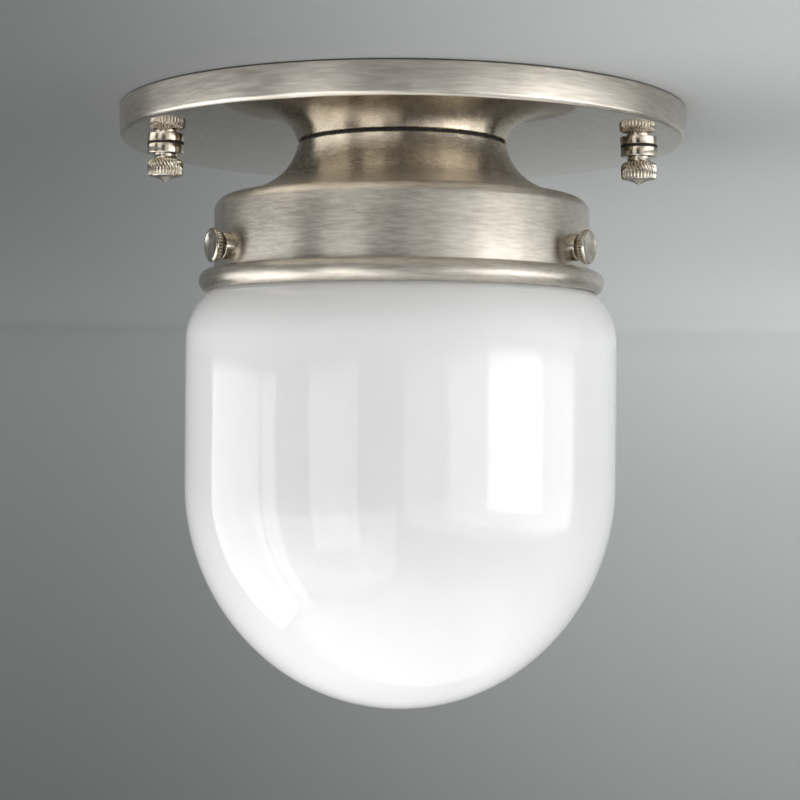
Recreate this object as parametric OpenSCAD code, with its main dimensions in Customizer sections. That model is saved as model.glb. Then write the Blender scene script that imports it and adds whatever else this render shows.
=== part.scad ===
// Flush ceiling light: a round canopy, a spun shade holder and a domed opal glass shade.
// Millimetres, +Z up. Z = 0 is the ceiling, and the origin is on the axis of the shade.

/* [Ceiling bar] */
// From a mounting stud to the edge of the canopy
stud_inset = 12.5; // [10:0.5:20]
// Width of the bar
bar_w = 19; // [16:0.5:24]
// Thickness of the bar
bar_t = 1.8; // [1.4:0.1:2]
// From the centre of a stud to the end of the bar
bar_end = 8; // [6:0.5:9]
// Radius of the round middle of the bar
bar_eye_r = 19; // [17:0.5:22]
// Radius of the wire hole in the middle of the bar
wire_hole_r = 12; // [10:0.5:14]
// Distance between the centres of the two box screw slots
slot_spacing = 80; // [76:1:90]
// Length of a slot, end to end
slot_l = 18; // [12:0.5:20]
// Width of a slot
slot_w = 4.8; // [4.4:0.1:6]
// Distance of the ground screw from the axis
ground_x = 25; // [24.5:0.1:25.5]

/* [Studs and thread] */
// Outside radius of the 8-32 thread on studs and thumbscrews
thread_r = 2.083; // [1.9:0.001:2.2]
// Radial clearance of a thread that turns
thread_gap = 0.067; // [0.03:0.001:0.09]
// Length of stud inside a cap nut
stud_grip = 7; // [6:0.1:7.5]
// Width across the flats of the nut that locks a stud
lock_af = 8.7; // [8:0.1:10]
// Thickness of the nut that locks a stud
lock_t = 3.1; // [2:0.1:3.5]

/* [Canopy] */
// Outside radius of the canopy
canopy_r = 82.5; // [80:0.5:100]
// Height of the canopy below the ceiling
canopy_h = 8.8; // [8.4:0.1:14]
// Wall of the canopy
canopy_wall = 1.5; // [1.2:0.1:1.8]
// Rounding of the canopy's lower edge
canopy_edge_r = 1.2; // [0.6:0.1:1.3]
// Clearance round a stud or the nipple in its hole
hole_gap = 0.25; // [0.1:0.05:0.4]

/* [Cap nuts] */
// Radius of the plain collar
nut_collar_r = 5.4; // [5:0.1:6.5]
// Height of the collar
nut_collar_h = 2.8; // [2:0.1:3.5]
// Radius of the neck
nut_neck_r = 3.4; // [3:0.1:4]
// Height of the neck
nut_neck_h = 1.4; // [1:0.1:2]
// Greatest radius of the knurled barrel
nut_barrel_r = 5.3; // [5:0.1:6.5]
// Height of the barrel
nut_barrel_h = 5; // [4.6:0.1:7]
// Height of the pointed tip
nut_tip_h = 1.9; // [1:0.1:3]
// Number of ridges round the barrel
nut_teeth = 30; // [24:1:40]
// Depth of the knurling
knurl_d = 0.35; // [0.2:0.05:0.5]
// Thickness of the washer above the nut
nut_washer_t = 0.3; // [0.2:0.1:1]

/* [Shade holder] */
// Radius of the waist, at the top
waist_r = 31; // [29:0.5:34]
// Thickness of the washer between canopy and holder
gasket_t = 0.5; // [0.4:0.1:1]
// Height of the cove from the waist to the shoulder
cove_h = 16.1; // [15:0.1:20]
// How far the cove leans out before it turns, at its control point
cove_lean = 3; // [2:0.1:5]
// How far the shoulder still falls from that control point
cove_fall = 3.1; // [2:0.1:4]
// Outside radius of the band
band_r = 55.15; // [54:0.05:57]
// Rounding between shoulder and band
shoulder_round = 3.3; // [2:0.1:4]
// Height from the top of the band to the middle of the bead
band_h = 21.1; // [20:0.1:26]
// Wall of the holder
holder_wall = 1.3; // [1:0.1:1.6]
// Radius of the bead's section
bead_r = 3.3; // [2.8:0.1:3.5]
// How far the bead stands out past the band
bead_out = 4.45; // [4:0.05:5]

/* [Thumbscrews] */
// Direction of the rear thumbscrew, from +X
screw_clock = 89; // [60:1:120]
// Height of the screws above the middle of the bead
screw_above_bead = 8.5; // [8:0.1:9]
// Radius of the threaded boss on the band
boss_r = 3.75; // [3.4:0.05:4.2]
// How far the boss stands out of the band
boss_out = 2.5; // [2:0.1:3.5]
// Radius of the boss's spigot in the wall
spigot_r = 3; // [2.7:0.05:3.2]
// How far the spigot stands in past the wall
spigot_in = 0.6; // [0.3:0.1:1]
// Free travel of a head before it meets its boss
head_gap = 1.15; // [1.05:0.05:1.5]
// Radius of a knurled head
head_r = 4.8; // [4.4:0.1:5.5]
// Thickness of a head
head_t = 2.1; // [1.6:0.1:3]
// Bevel round a head's two faces
head_bevel = 0.25; // [0.1:0.05:0.4]
// Number of ridges round a head
head_teeth = 32; // [24:1:40]
// Clearance between a screw's tip and the rim of the glass
tip_gap = 0.25; // [0.15:0.05:0.5]
// Length of the tapered tip
tip_taper = 0.6; // [0.3:0.1:1]

/* [Shade] */
// Outside radius of the glass
shade_r = 63.25; // [61:0.25:66]
// Thickness of the glass
glass_t = 3; // [2.6:0.1:3.6]
// Clearance between the band and the rim at the top of the neck
rim_gap = 4.05; // [3:0.05:5]
// Height of the rim
lip_h = 5.2; // [4:0.1:6]
// Rounding of the rim's corners
lip_round = 1.2; // [0.6:0.1:1.3]
// Clearance between the rim's underside and a screw
lip_gap = 0.35; // [0.3:0.05:0.6]
// How far the rim stands out past the neck
rim_out = 2.4; // [1.8:0.1:3]
// Radius of the rounded shoulder's section
shade_round = 20; // [18:0.5:22]
// How deep the seat for the glass is cut into the bead
seat_cut = 1.83; // [1.2:0.01:2.4]
// Clearance between the glass shoulder and the bead
seat_gap = 0.6; // [0.4:0.05:1]
// Height of the straight side
side_h = 41.1; // [20:0.1:80]
// How much more than the shade's radius the dome's side is rounded
dome_extra = 4; // [2:0.5:5]
// How much less than the shade's radius the dome's bottom is rounded
dome_less = 2.25; // [1:0.25:5]

/* [Nipple and fasteners] */
// Outside radius of the threaded nipple
nipple_r = 5.145; // [5:0.005:5.3]
// Bore radius of the nipple
nipple_bore_r = 3.4; // [3.2:0.05:3.8]
// Gap between the bar and the top of the nipple
nipple_below_bar = 1.2; // [1:0.1:1.4]
// Thickness of a lock washer
washer_t = 0.8; // [0.6:0.1:1]
// Outside radius of a lock washer
washer_r = 8.2; // [7.8:0.1:9]
// Width across the flats of a nipple nut
nipple_nut_af = 14.3; // [13:0.1:16]
// Thickness of a nipple nut
nipple_nut_t = 2.4; // [2:0.1:2.6]

/* [Lampholder] */
// Free height between the lower nipple nut and the hub
hub_gap = 0.6; // [0.3:0.1:1]
// Radius of the hub
hub_r = 8; // [7.5:0.1:9]
// Height of the hub
hub_h = 7.5; // [6:0.1:9]
// Outside radius of the cap and of the porcelain
holder_r = 19.5; // [18.5:0.1:22]
// Wall of the cap
cap_wall = 1.1; // [0.8:0.1:1.4]
// Height of the wiring space in the cap
wiring_h = 8.6; // [8:0.1:10]
// How far the cap's skirt reaches down the porcelain
skirt_lap = 3; // [2:0.1:5]
// Thickness of porcelain above the bulb's socket
porcelain_top = 5; // [4.8:0.1:7]
// Depth of the bulb's socket
socket_depth = 22.7; // [22:0.1:25]
// Clearance round the bulb in the threaded metal shell
shell_gap = 0.35; // [0.2:0.05:0.6]
// Wall of that shell
shell_wall = 0.45; // [0.3:0.05:0.5]
// From the mouth of the socket up to the shell
shell_up = 1; // [0.5:0.1:2]
// From the shell up to the top of the socket
shell_down = 2.2; // [1.5:0.1:4]
// Distance of a terminal screw from the axis
terminal_x = 10.5; // [9.5:0.1:11]
// Distance of a cap screw from the axis
cap_screw_y = 13; // [12:0.1:14]
// Radius of the leads
lead_r = 1.1; // [0.9:0.05:1.2]

/* [Bulb] */
// Clearance of the bulb's contact below the socket's spring
contact_gap = 0.1; // [0.05:0.05:0.3]
// Radius of the bulb's contact
contact_r = 4.4; // [4:0.1:5]
// Radius of the bulb's threaded cap over its crests
base_r = 13.1; // [12.8:0.05:13.15]
// Depth of the thread
base_thread = 0.5; // [0.3:0.05:0.6]
// Pitch of the thread
base_pitch = 3.63; // [3.4:0.01:3.8]
// Wall of the cap
base_wall = 0.4; // [0.3:0.05:0.5]
// Length of the cap
base_l = 20; // [18.5:0.1:22]
// Height of the black insulator
insulator_h = 3.1; // [2.5:0.1:3.5]
// Radius of the globe
globe_r = 30; // [27:0.5:32]
// Depth of the globe's middle below the cap's end
globe_drop = 50; // [46:0.5:54]
// Thickness of the bulb's glass
bulb_t = 0.8; // [0.6:0.1:1]
// Radius of the glass stem that holds the filament
stem_r = 2.2; // [1.8:0.1:2.6]
// How far the stem reaches below the cap
stem_reach = 26; // [20:1:30]
// Length over which the stem flares out at its top
stem_flare = 12; // [8:1:14]
// Half the width of the filament
bow_r = 10; // [6:0.5:12]
// Length of the wires that carry the filament
arm_l = 8; // [5:0.5:12]
// Radius of the filament and its wires
wire_r = 0.4; // [0.3:0.05:0.5]

/* [Hidden] */
$fn = 72;

// Long enough to cut right through
through = 200;
// How far a cut starts outside the piece it cuts
past = 1;

// Heights, from the ceiling down
canopy_z = -canopy_h;
nut_top_z = canopy_z - nut_washer_t;
nut_tip_z = nut_top_z - nut_collar_h - nut_neck_h - nut_barrel_h - nut_tip_h;
holder_top_z = canopy_z - gasket_t;
shoulder_z = holder_top_z - cove_h;
band_top_z = shoulder_z - shoulder_round;
bead_z = band_top_z - band_h;
screw_z = bead_z + screw_above_bead;
lip_z = screw_z + thread_r + lip_gap;
lip_top_z = lip_z + lip_h;

// Radii that follow from the ones above
band_in_r = band_r - holder_wall;
bead_mid_r = band_r + bead_out - bead_r;
tapped_r = thread_r + thread_gap;
stud_x = canopy_r - stud_inset;
lip_r = band_in_r - rim_gap;
neck_r = lip_r - rim_out;
neck_in_r = neck_r - glass_t;
dome_r = shade_r - dome_less;
shell_r = base_r + shell_gap + shell_wall;
bulb_thread_in_r = base_r - base_thread;

// The glass shoulder sits under the bead: height of its section's middle, from the distance between the two
seat_reach = shade_round + seat_gap + bead_r - seat_cut;
seat_over = bead_mid_r - (shade_r - shade_round);
shade_round_z = bead_z - sqrt(seat_reach ^ 2 - seat_over ^ 2);
dome_z = shade_round_z - side_h;

// Nipple stack
nipple_top_z = -bar_t - nipple_below_bar;
upper_washer_z = canopy_z + canopy_wall;
lower_washer_z = holder_top_z - holder_wall;
lower_nut_z = lower_washer_z - washer_t;
hub_top_z = lower_nut_z - nipple_nut_t - hub_gap;
cap_top_z = hub_top_z - hub_h;
wiring_top_z = cap_top_z - cap_wall;
porcelain_z = wiring_top_z - wiring_h;
socket_top_z = porcelain_z - porcelain_top;
porcelain_end_z = socket_top_z - socket_depth;

// Contact of the socket and the bulb below it
spring_r = 5.5;
spring_t = 0.9;
spring_room = 0.5;
recess_h = 1.2;
spring_z = socket_top_z + recess_h;
rivet_r = 1.4;
bulb_top_z = spring_z - spring_t - contact_gap;
contact_h = 0.9;
insulator_z = bulb_top_z - contact_h;
base_z = insulator_z - insulator_h;
base_end_z = base_z - base_l;
globe_z = base_end_z - globe_drop;

// Points of an arc, from angle a to angle b
function arc(centre, r, a, b, n, first = 0) =
    [for (i = [first:n]) let (t = a + (b - a) * i / n) centre + r * [cos(t), sin(t)]];

// Points of a curve that starts at p, ends at q and bends towards c
function curve(p, c, q, n, first = 0) =
    [for (i = [first:n]) let (t = i / n) (1 - t) ^ 2 * p + 2 * t * (1 - t) * c + t ^ 2 * q];

function shifted(points, by) = [for (p = points) p + by];
function reversed(points) = [for (i = [len(points) - 1:-1:0]) points[i]];

// A round ring or disc between two radii and two heights
module ring(r_in, r_out, z_low, z_high) {
    translate([0, 0, z_low]) difference() {
        cylinder(r = r_out, h = z_high - z_low);
        if (r_in > 0) translate([0, 0, -past]) cylinder(r = r_in, h = z_high - z_low + 2 * past);
    }
}

// A hexagonal nut on the axis
module hex_nut(flats, hole_r, z_low, z_high) {
    difference() {
        translate([0, 0, z_low]) cylinder(d = flats / cos(30), h = z_high - z_low, $fn = 6);
        translate([0, 0, z_low - past]) cylinder(r = hole_r, h = z_high - z_low + 2 * past);
    }
}

module at_studs() {
    for (side = [-1, 1]) translate([side * stud_x, 0, 0]) children();
}

// Turns +Z into the outward direction of thumbscrew k: 0 rear, 1 left, 2 right
module at_screw(k) {
    rotate([0, 0, screw_clock + 120 * k]) translate([0, 0, screw_z]) rotate([0, 90, 0]) children();
}

// Ridged prism that knurling is cut to
module ridges(r, depth, teeth, h) {
    step = 180 / teeth;
    linear_extrude(h) polygon([for (i = [0:2 * teeth - 1])
        let (rr = r - (i % 2) * depth) rr * [cos(i * step), sin(i * step)]]);
}

module slot(x) {
    reach = (slot_l - slot_w) / 2;
    low = -bar_t - past;
    tall = bar_t + 2 * past;
    for (end = [-1, 1]) translate([x + end * reach, 0, low]) cylinder(d = slot_w, h = tall);
    translate([x - reach, -slot_w / 2, low]) cube([2 * reach, slot_w, tall]);
}

ground_r = 2.4;
ground_head_r = 4.4;
ground_head_h = 2.2;

module ceiling_bar() {
    half = stud_x + bar_end - bar_w / 2;
    color("silver") difference() {
        translate([0, 0, -bar_t]) union() {
            translate([-half, -bar_w / 2, 0]) cube([2 * half, bar_w, bar_t]);
            for (side = [-1, 1]) translate([side * half, 0, 0]) cylinder(d = bar_w, h = bar_t);
            cylinder(r = bar_eye_r, h = bar_t);
        }
        at_studs() cylinder(r = thread_r, h = through, center = true);
        slot(-slot_spacing / 2);
        slot(slot_spacing / 2);
        cylinder(r = wire_hole_r, h = through, center = true);
        translate([ground_x, 0, 0]) cylinder(r = ground_r, h = through, center = true);
    }
}

module mounting_studs() {
    color("silver") at_studs() ring(0, thread_r, nut_top_z - stud_grip, 0);
}

module stud_locknuts() {
    color("gainsboro") at_studs() hex_nut(lock_af, thread_r, -bar_t - lock_t, -bar_t);
}

module ground_screw() {
    color("green") translate([ground_x, 0, 0]) union() {
        ring(0, ground_r, -bar_t - ground_head_h / 2, 0);
        difference() {
            slot_depth = 0.9;
            slot_width = 1.1;
            ring(0, ground_head_r, -bar_t - ground_head_h, -bar_t);
            translate([-ground_head_r, -slot_width / 2, -bar_t - ground_head_h - past])
                cube([2 * ground_head_r, slot_width, slot_depth + past]);
        }
    }
}

module canopy() {
    edge = [canopy_r - canopy_edge_r, canopy_z + canopy_edge_r];
    inner_r = canopy_r - canopy_wall;
    outline = concat([[0, canopy_z]], arc(edge, canopy_edge_r, -90, 0, 6),
        [[canopy_r, 0], [inner_r, 0], [inner_r, canopy_z + canopy_wall], [0, canopy_z + canopy_wall]]);
    color([0.66, 0.62, 0.57]) difference() {
        rotate_extrude($fn = 144) polygon(outline);
        cylinder(r = nipple_r + hole_gap, h = through, center = true);
        at_studs() cylinder(r = thread_r + hole_gap, h = through, center = true);
    }
}

module holder_gasket() {
    inset = 0.9;
    color([0.08, 0.08, 0.08]) ring(nipple_r + hole_gap, waist_r - inset, holder_top_z, canopy_z);
}

module nut_washers() {
    color([0.08, 0.08, 0.08]) at_studs() ring(thread_r + hole_gap, nut_collar_r, nut_top_z, canopy_z);
}

module cap_nut(x) {
    collar_z = -nut_collar_h;
    neck_z = collar_z - nut_neck_h;
    barrel_z = neck_z - nut_barrel_h;
    tip_z = barrel_z - nut_tip_h;
    bevel = 0.2;
    hole_end = 0.8;
    crown_h = 0.36 * nut_barrel_h;
    waist = 0.3;
    tip_hollow = 0.35;
    crest = 0.06;
    core_r = nut_barrel_r - 2 * knurl_d;
    core_z = barrel_z + hole_end;
    stem = concat(
        [[0, 0], [nut_collar_r - bevel, 0], [nut_collar_r, -bevel], [nut_collar_r, collar_z + bevel],
         [nut_collar_r - bevel, collar_z], [nut_neck_r, collar_z], [nut_neck_r, core_z],
         [core_r, core_z], [core_r, barrel_z]],
        curve([core_r, barrel_z], [tip_hollow * core_r, barrel_z - tip_hollow * nut_tip_h],
              [0, tip_z], 4, 1));
    barrel = concat([[0, barrel_z], [nut_barrel_r - waist, barrel_z]],
        curve([nut_barrel_r - waist, barrel_z], [nut_barrel_r, barrel_z + crown_h],
              [nut_barrel_r, neck_z - crown_h], 3, 1),
        curve([nut_barrel_r, neck_z - crown_h], [nut_barrel_r - waist, neck_z - waist],
              [nut_neck_r, neck_z], 4, 1),
        [[0, neck_z]]);
    color([0.72, 0.66, 0.58]) translate([x, 0, nut_top_z]) difference() {
        union() {
            rotate_extrude() polygon(stem);
            intersection() {
                translate([0, 0, barrel_z])
                    ridges(nut_barrel_r + crest, knurl_d + crest, nut_teeth, nut_barrel_h);
                rotate_extrude() polygon(barrel);
            }
        }
        translate([0, 0, -stud_grip - hole_end]) cylinder(r = tapped_r, h = through);
    }
}
module cap_nut_left() { cap_nut(-stud_x); }
module cap_nut_right() { cap_nut(stud_x); }

// Outline of the holder's cove and shoulder, from the waist to the band
waist_edge = 0.5;
cove_start = [waist_r, holder_top_z - waist_edge];
cove_end = [band_r - shoulder_round, shoulder_z];
cove_bend = [waist_r + cove_lean, shoulder_z + cove_fall];
cove = concat(curve(cove_start, cove_bend, cove_end, 12),
              curve(cove_end, [band_r - shoulder_round / 5, shoulder_z - shoulder_round / 5],
                    [band_r, band_top_z], 5, 1));

// Angle on the bead's section where the band meets it
bead_start = acos((band_r - bead_mid_r) / bead_r);

module shade_holder() {
    thinning = 0.3;
    inner = shifted(cove, [-holder_wall, thinning - holder_wall]);
    outline = concat([[0, holder_top_z], [waist_r - waist_edge, holder_top_z]], cove,
                     arc([bead_mid_r, bead_z], bead_r, bead_start, -90, 18),
                     [[band_in_r, bead_z - bead_r]], reversed(inner),
                     [[waist_r - holder_wall, holder_top_z - holder_wall],
                      [0, holder_top_z - holder_wall]]);
    color([0.64, 0.6, 0.54]) difference() {
        rotate_extrude($fn = 144) difference() {
            polygon(outline);
            translate([shade_r - shade_round, shade_round_z]) circle(r = shade_round + seat_gap);
        }
        cylinder(r = nipple_r + hole_gap, h = through, center = true);
        for (k = [0:2]) at_screw(k) cylinder(r = spigot_r, h = through / 2);
    }
}

module screw_bosses() {
    inner = band_in_r - spigot_in;
    color([0.7, 0.65, 0.57]) for (k = [0:2]) difference() {
        union() {
            difference() {
                at_screw(k) translate([0, 0, inner]) cylinder(r = boss_r, h = band_r + boss_out - inner);
                cylinder(r = band_r, h = through, center = true);
            }
            at_screw(k) translate([0, 0, inner]) cylinder(r = spigot_r, h = band_r - inner + boss_out / 2);
        }
        at_screw(k) cylinder(r = tapped_r, h = through / 2);
    }
}

// Distances from the axis along a thumbscrew
tip_x = lip_r + tip_gap;
head_x = band_r + boss_out + head_gap;

module screw_shank(k) {
    tip_r = thread_r - tip_taper / 2;
    shank_l = head_x + head_t - head_bevel - tip_x - tip_taper;
    color([0.7, 0.65, 0.57]) at_screw(k) translate([0, 0, tip_x]) union() {
        cylinder(r1 = tip_r, r2 = thread_r, h = tip_taper);
        translate([0, 0, tip_taper]) cylinder(r = thread_r, h = shank_l);
    }
}
module screw_shank_rear() { screw_shank(0); }
module screw_shank_left() { screw_shank(1); }
module screw_shank_right() { screw_shank(2); }

module screw_head(k) {
    rim = [[0, 0], [head_r - head_bevel, 0], [head_r, head_bevel], [head_r, head_t - head_bevel],
           [head_r - head_bevel, head_t], [0, head_t]];
    face_t = head_bevel / 2;
    color([0.7, 0.65, 0.57]) at_screw(k) translate([0, 0, head_x]) difference() {
        intersection() {
            ridges(head_r, knurl_d, head_teeth, head_t);
            rotate_extrude() polygon(rim);
        }
        translate([0, 0, -past]) cylinder(r = tapped_r, h = head_t + past - face_t);
    }
}
module screw_head_rear() { screw_head(0); }
module screw_head_left() { screw_head(1); }
module screw_head_right() { screw_head(2); }

// Inside or outside of the glass below its neck, wall in from the outer surface
function glass_side(wall, r_neck) =
    let (extra = dome_extra + shade_r - dome_r,
         drop = sqrt(extra ^ 2 - dome_extra ^ 2),
         turn = atan2(drop, dome_extra),
         round_r = shade_round - wall,
         round_x = shade_r - shade_round,
         start = acos((r_neck - round_x) / round_r))
    concat(arc([round_x, shade_round_z], round_r, start, 0, 12),
           arc([-dome_extra, dome_z], shade_r + dome_extra - wall, 0, -turn, 9),
           arc([0, dome_z - drop], dome_r - wall, -turn, -90, 8, 1));

module shade() {
    corner_r = lip_r - lip_round;
    outline = concat([[neck_in_r, lip_top_z]],
                     arc([corner_r, lip_top_z - lip_round], lip_round, 90, 0, 4),
                     arc([corner_r, lip_z + lip_round], lip_round, 0, -90, 4),
                     [[neck_r, lip_z]],
                     glass_side(0, neck_r), reversed(glass_side(glass_t, neck_in_r)));
    color([0.95, 0.95, 0.94]) rotate_extrude($fn = 144) polygon(outline);
}

module nipple() {
    color([0.75, 0.73, 0.68]) ring(nipple_bore_r, nipple_r, cap_top_z, nipple_top_z);
}

// A washer with teeth on its inside
module lock_washer(z_low) {
    tooth_l = 1.6;
    tooth_w = 1.3;
    gaps = 12;
    color([0.55, 0.55, 0.56]) difference() {
        ring(nipple_r, washer_r, z_low, z_low + washer_t);
        for (i = [0:gaps - 1]) rotate([0, 0, 360 * i / gaps])
            translate([nipple_r - past, -tooth_w / 2, z_low - past])
                cube([tooth_l + past, tooth_w, washer_t + 2 * past]);
    }
}
module upper_lock_washer() { lock_washer(upper_washer_z); }
module lower_lock_washer() { lock_washer(lower_washer_z - washer_t); }

module upper_locknut() {
    bottom = upper_washer_z + washer_t;
    color([0.78, 0.68, 0.42]) hex_nut(nipple_nut_af, nipple_r, bottom, bottom + nipple_nut_t);
}

module lower_locknut() {
    color([0.78, 0.68, 0.42]) hex_nut(nipple_nut_af, nipple_r, lower_nut_z - nipple_nut_t, lower_nut_z);
}

set_screw_r = 1.6;
set_screw_z = hub_top_z - hub_h / 2;
cap_screw_r = 1.6;
cap_screw_head_r = 3;
cap_screw_head_h = 1.8;
cap_screw_bite = 4;

module lampholder_cap() {
    skirt_z = porcelain_z - skirt_lap;
    color([0.8, 0.7, 0.45]) difference() {
        union() {
            ring(nipple_r, hub_r, cap_top_z - cap_wall / 2, hub_top_z);
            ring(0, holder_r, skirt_z, cap_top_z);
        }
        ring(0, holder_r - cap_wall, skirt_z - past, wiring_top_z);
        translate([0, 0, wiring_top_z - past]) cylinder(r = nipple_r, h = through);
        translate([0, 0, set_screw_z]) rotate([0, 90, 0]) cylinder(r = set_screw_r, h = through);
        for (side = [-1, 1])
            translate([0, side * cap_screw_y, skirt_z]) cylinder(r = cap_screw_r, h = through);
    }
}

module cap_set_screw() {
    stand_out = 1.2;
    color([0.6, 0.6, 0.6]) difference() {
        translate([nipple_r, 0, set_screw_z]) rotate([0, 90, 0])
            cylinder(r = set_screw_r, h = hub_r - nipple_r + stand_out);
        cylinder(r = nipple_r, h = through, center = true);
    }
}

module cap_screws() {
    color([0.8, 0.78, 0.72]) for (side = [-1, 1]) translate([0, side * cap_screw_y, 0]) union() {
        ring(0, cap_screw_r, porcelain_z - cap_screw_bite, cap_top_z + cap_screw_head_h / 2);
        ring(0, cap_screw_head_r, cap_top_z, cap_top_z + cap_screw_head_h);
    }
}

terminal_r = 1.5;
terminal_head_r = 2.9;
terminal_head_h = 1.8;
terminal_bite = 4;

module porcelain_body() {
    core_r = holder_r - cap_wall;
    color([0.93, 0.92, 0.88]) difference() {
        union() {
            ring(0, core_r, porcelain_end_z, porcelain_z);
            ring(0, holder_r, porcelain_end_z, porcelain_z - skirt_lap);
        }
        ring(0, shell_r, porcelain_end_z - past, socket_top_z);
        ring(0, spring_r + spring_room, porcelain_end_z, spring_z);
        ring(0, rivet_r, porcelain_end_z, porcelain_z + past);
        for (side = [-1, 1]) {
            translate([0, side * cap_screw_y, 0]) ring(0, cap_screw_r, porcelain_z - cap_screw_bite, 0);
            translate([side * terminal_x, 0, 0]) ring(0, terminal_r, porcelain_z - terminal_bite, 0);
        }
    }
}

module screw_shell() {
    color([0.82, 0.72, 0.45])
        ring(shell_r - shell_wall, shell_r, porcelain_end_z + shell_up, socket_top_z - shell_down);
}

module centre_contact() {
    color([0.82, 0.72, 0.45]) union() {
        ring(0, spring_r, spring_z - spring_t, spring_z);
        ring(0, rivet_r, spring_z - spring_t / 2, porcelain_z);
    }
}

module terminal_screws() {
    color([0.82, 0.74, 0.5]) for (side = [-1, 1]) translate([side * terminal_x, 0, 0]) union() {
        ring(0, terminal_r, porcelain_z - terminal_bite, porcelain_z + terminal_head_h / 2);
        ring(0, terminal_head_r, porcelain_z, porcelain_z + terminal_head_h);
    }
}

// Route of a lead in the XZ plane, from its end in the ceiling down to its terminal
lead_apart = 0.3;
lead_x = lead_r + lead_apart / 2;
lead_above_nipple = 1.4;
lead_top_z = nipple_top_z + lead_above_nipple;
lead_end_z = porcelain_z + terminal_head_h;
lead_drop = 2.2 * lead_r;
lead_slope = 0.3 * lead_r;
lead_mid = [terminal_x / 2, wiring_top_z - lead_drop];
lead_route = concat([[lead_x, lead_top_z], [lead_x, cap_top_z]],
    curve([lead_x, wiring_top_z], [lead_x, lead_mid[1] + lead_slope], lead_mid, 4),
    curve(lead_mid, [terminal_x, lead_mid[1] - lead_slope], [terminal_x, lead_end_z + lead_r], 5, 1),
    [[terminal_x, lead_end_z]]);

function unit(v) = v / norm(v);

// A tube along a route in the XZ plane
module planar_tube(route, r, sides) {
    last = len(route) - 1;
    ways = [for (i = [0:last]) unit(route[min(i + 1, last)] - route[max(i - 1, 0)])];
    points = [for (i = [0:last], s = [0:sides - 1]) let (a = 360 * s / sides)
        [route[i][0] - r * cos(a) * ways[i][1], r * sin(a), route[i][1] + r * cos(a) * ways[i][0]]];
    walls = [for (i = [0:last - 1], s = [0:sides - 1]) let (t = (s + 1) % sides)
        [i * sides + s, i * sides + t, (i + 1) * sides + t, (i + 1) * sides + s]];
    ends = [[for (s = [sides - 1:-1:0]) s], [for (s = [0:sides - 1]) last * sides + s]];
    polyhedron(points, concat(walls, ends));
}

module black_lead() { color([0.06, 0.06, 0.06]) planar_tube(lead_route, lead_r, 12); }
module white_lead() { color([0.9, 0.9, 0.88]) rotate([0, 0, 180]) planar_tube(lead_route, lead_r, 12); }

module lead_ends() {
    copper_r = 0.51;
    copper_top_z = -0.2;
    color([0.72, 0.45, 0.2]) for (side = [-1, 1])
        translate([side * lead_x, 0, 0]) ring(0, copper_r, lead_top_z, copper_top_z);
}

module bulb_contact() {
    color([0.75, 0.75, 0.75]) ring(0, contact_r, insulator_z, bulb_top_z);
}

// Inside radius of the bulb's cap, and where the insulator ends in it
cap_in_r = bulb_thread_in_r - base_wall;
insulator_bite = 1;
insulator_end_z = base_z - insulator_bite;

module bulb_insulator() {
    rim = 0.2;
    outline = [[0, insulator_z], [contact_r + rim, insulator_z], [cap_in_r, base_z],
               [cap_in_r, insulator_end_z], [0, insulator_end_z]];
    color([0.05, 0.05, 0.05]) rotate_extrude() polygon(outline);
}

module bulb_cap() {
    lead_in = 1.4;
    turns = floor((base_l - 2 * lead_in) / base_pitch);
    crests = [for (i = [0:turns - 1], step = [0:2])
        let (z = base_z - lead_in - (i + step / 2) * base_pitch)
        if (step < 2) [step == 1 ? base_r : bulb_thread_in_r, z]];
    outline = concat([[cap_in_r, base_z], [bulb_thread_in_r, base_z]], crests,
        [[bulb_thread_in_r, base_z - lead_in - turns * base_pitch], [bulb_thread_in_r, base_end_z],
         [cap_in_r, base_end_z]]);
    color([0.75, 0.75, 0.76]) rotate_extrude() polygon(outline);
}

// Outline of the bulb's glass, wall in from the outer surface
function bulb_side(wall) =
    let (r_neck = cap_in_r - wall,
         join = 40,
         r = globe_r - wall,
         q = [r * cos(join), globe_z + r * sin(join)],
         bend = [r_neck, q[1] + (q[0] - r_neck) / tan(join)])
    concat([[r_neck, insulator_end_z]], curve([r_neck, base_end_z], bend, q, 9),
           arc([0, globe_z], r, join, -90, 18, 1));

module bulb_glass() {
    color([0.9, 0.9, 0.88, 0.8]) rotate_extrude($fn = 96)
        polygon(concat(bulb_side(0), reversed(bulb_side(bulb_t))));
}

stem_end_z = base_end_z - stem_reach;
cross_z = stem_end_z + 2 * wire_r;

module bulb_stem() {
    flare_r = cap_in_r - bulb_t;
    rim = 1;
    rim_z = insulator_end_z - rim;
    outline = concat([[0, insulator_end_z], [flare_r, insulator_end_z], [flare_r, rim_z]],
        curve([flare_r, rim_z], [stem_r, rim_z - rim], [stem_r, insulator_end_z - stem_flare], 6, 1),
        [[stem_r, stem_end_z], [0, stem_end_z]]);
    color([0.85, 0.88, 0.9, 0.6]) difference() {
        rotate_extrude() polygon(outline);
        translate([0, 0, cross_z]) rotate([0, 90, 0]) cylinder(r = wire_r, h = 2 * bow_r, center = true);
    }
}

module filament() {
    arm_z = stem_end_z - arm_l;
    color([0.35, 0.35, 0.36]) union() {
        for (side = [-1, 1]) {
            translate([0, 0, cross_z]) rotate([0, side * 90, 0]) cylinder(r = wire_r, h = bow_r);
            translate([side * bow_r, 0, arm_z]) cylinder(r = wire_r, h = cross_z - arm_z);
        }
        translate([0, 0, arm_z]) rotate([90, 0, 0])
            rotate_extrude(angle = -180) translate([bow_r, 0]) circle(r = wire_r);
    }
}

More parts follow.
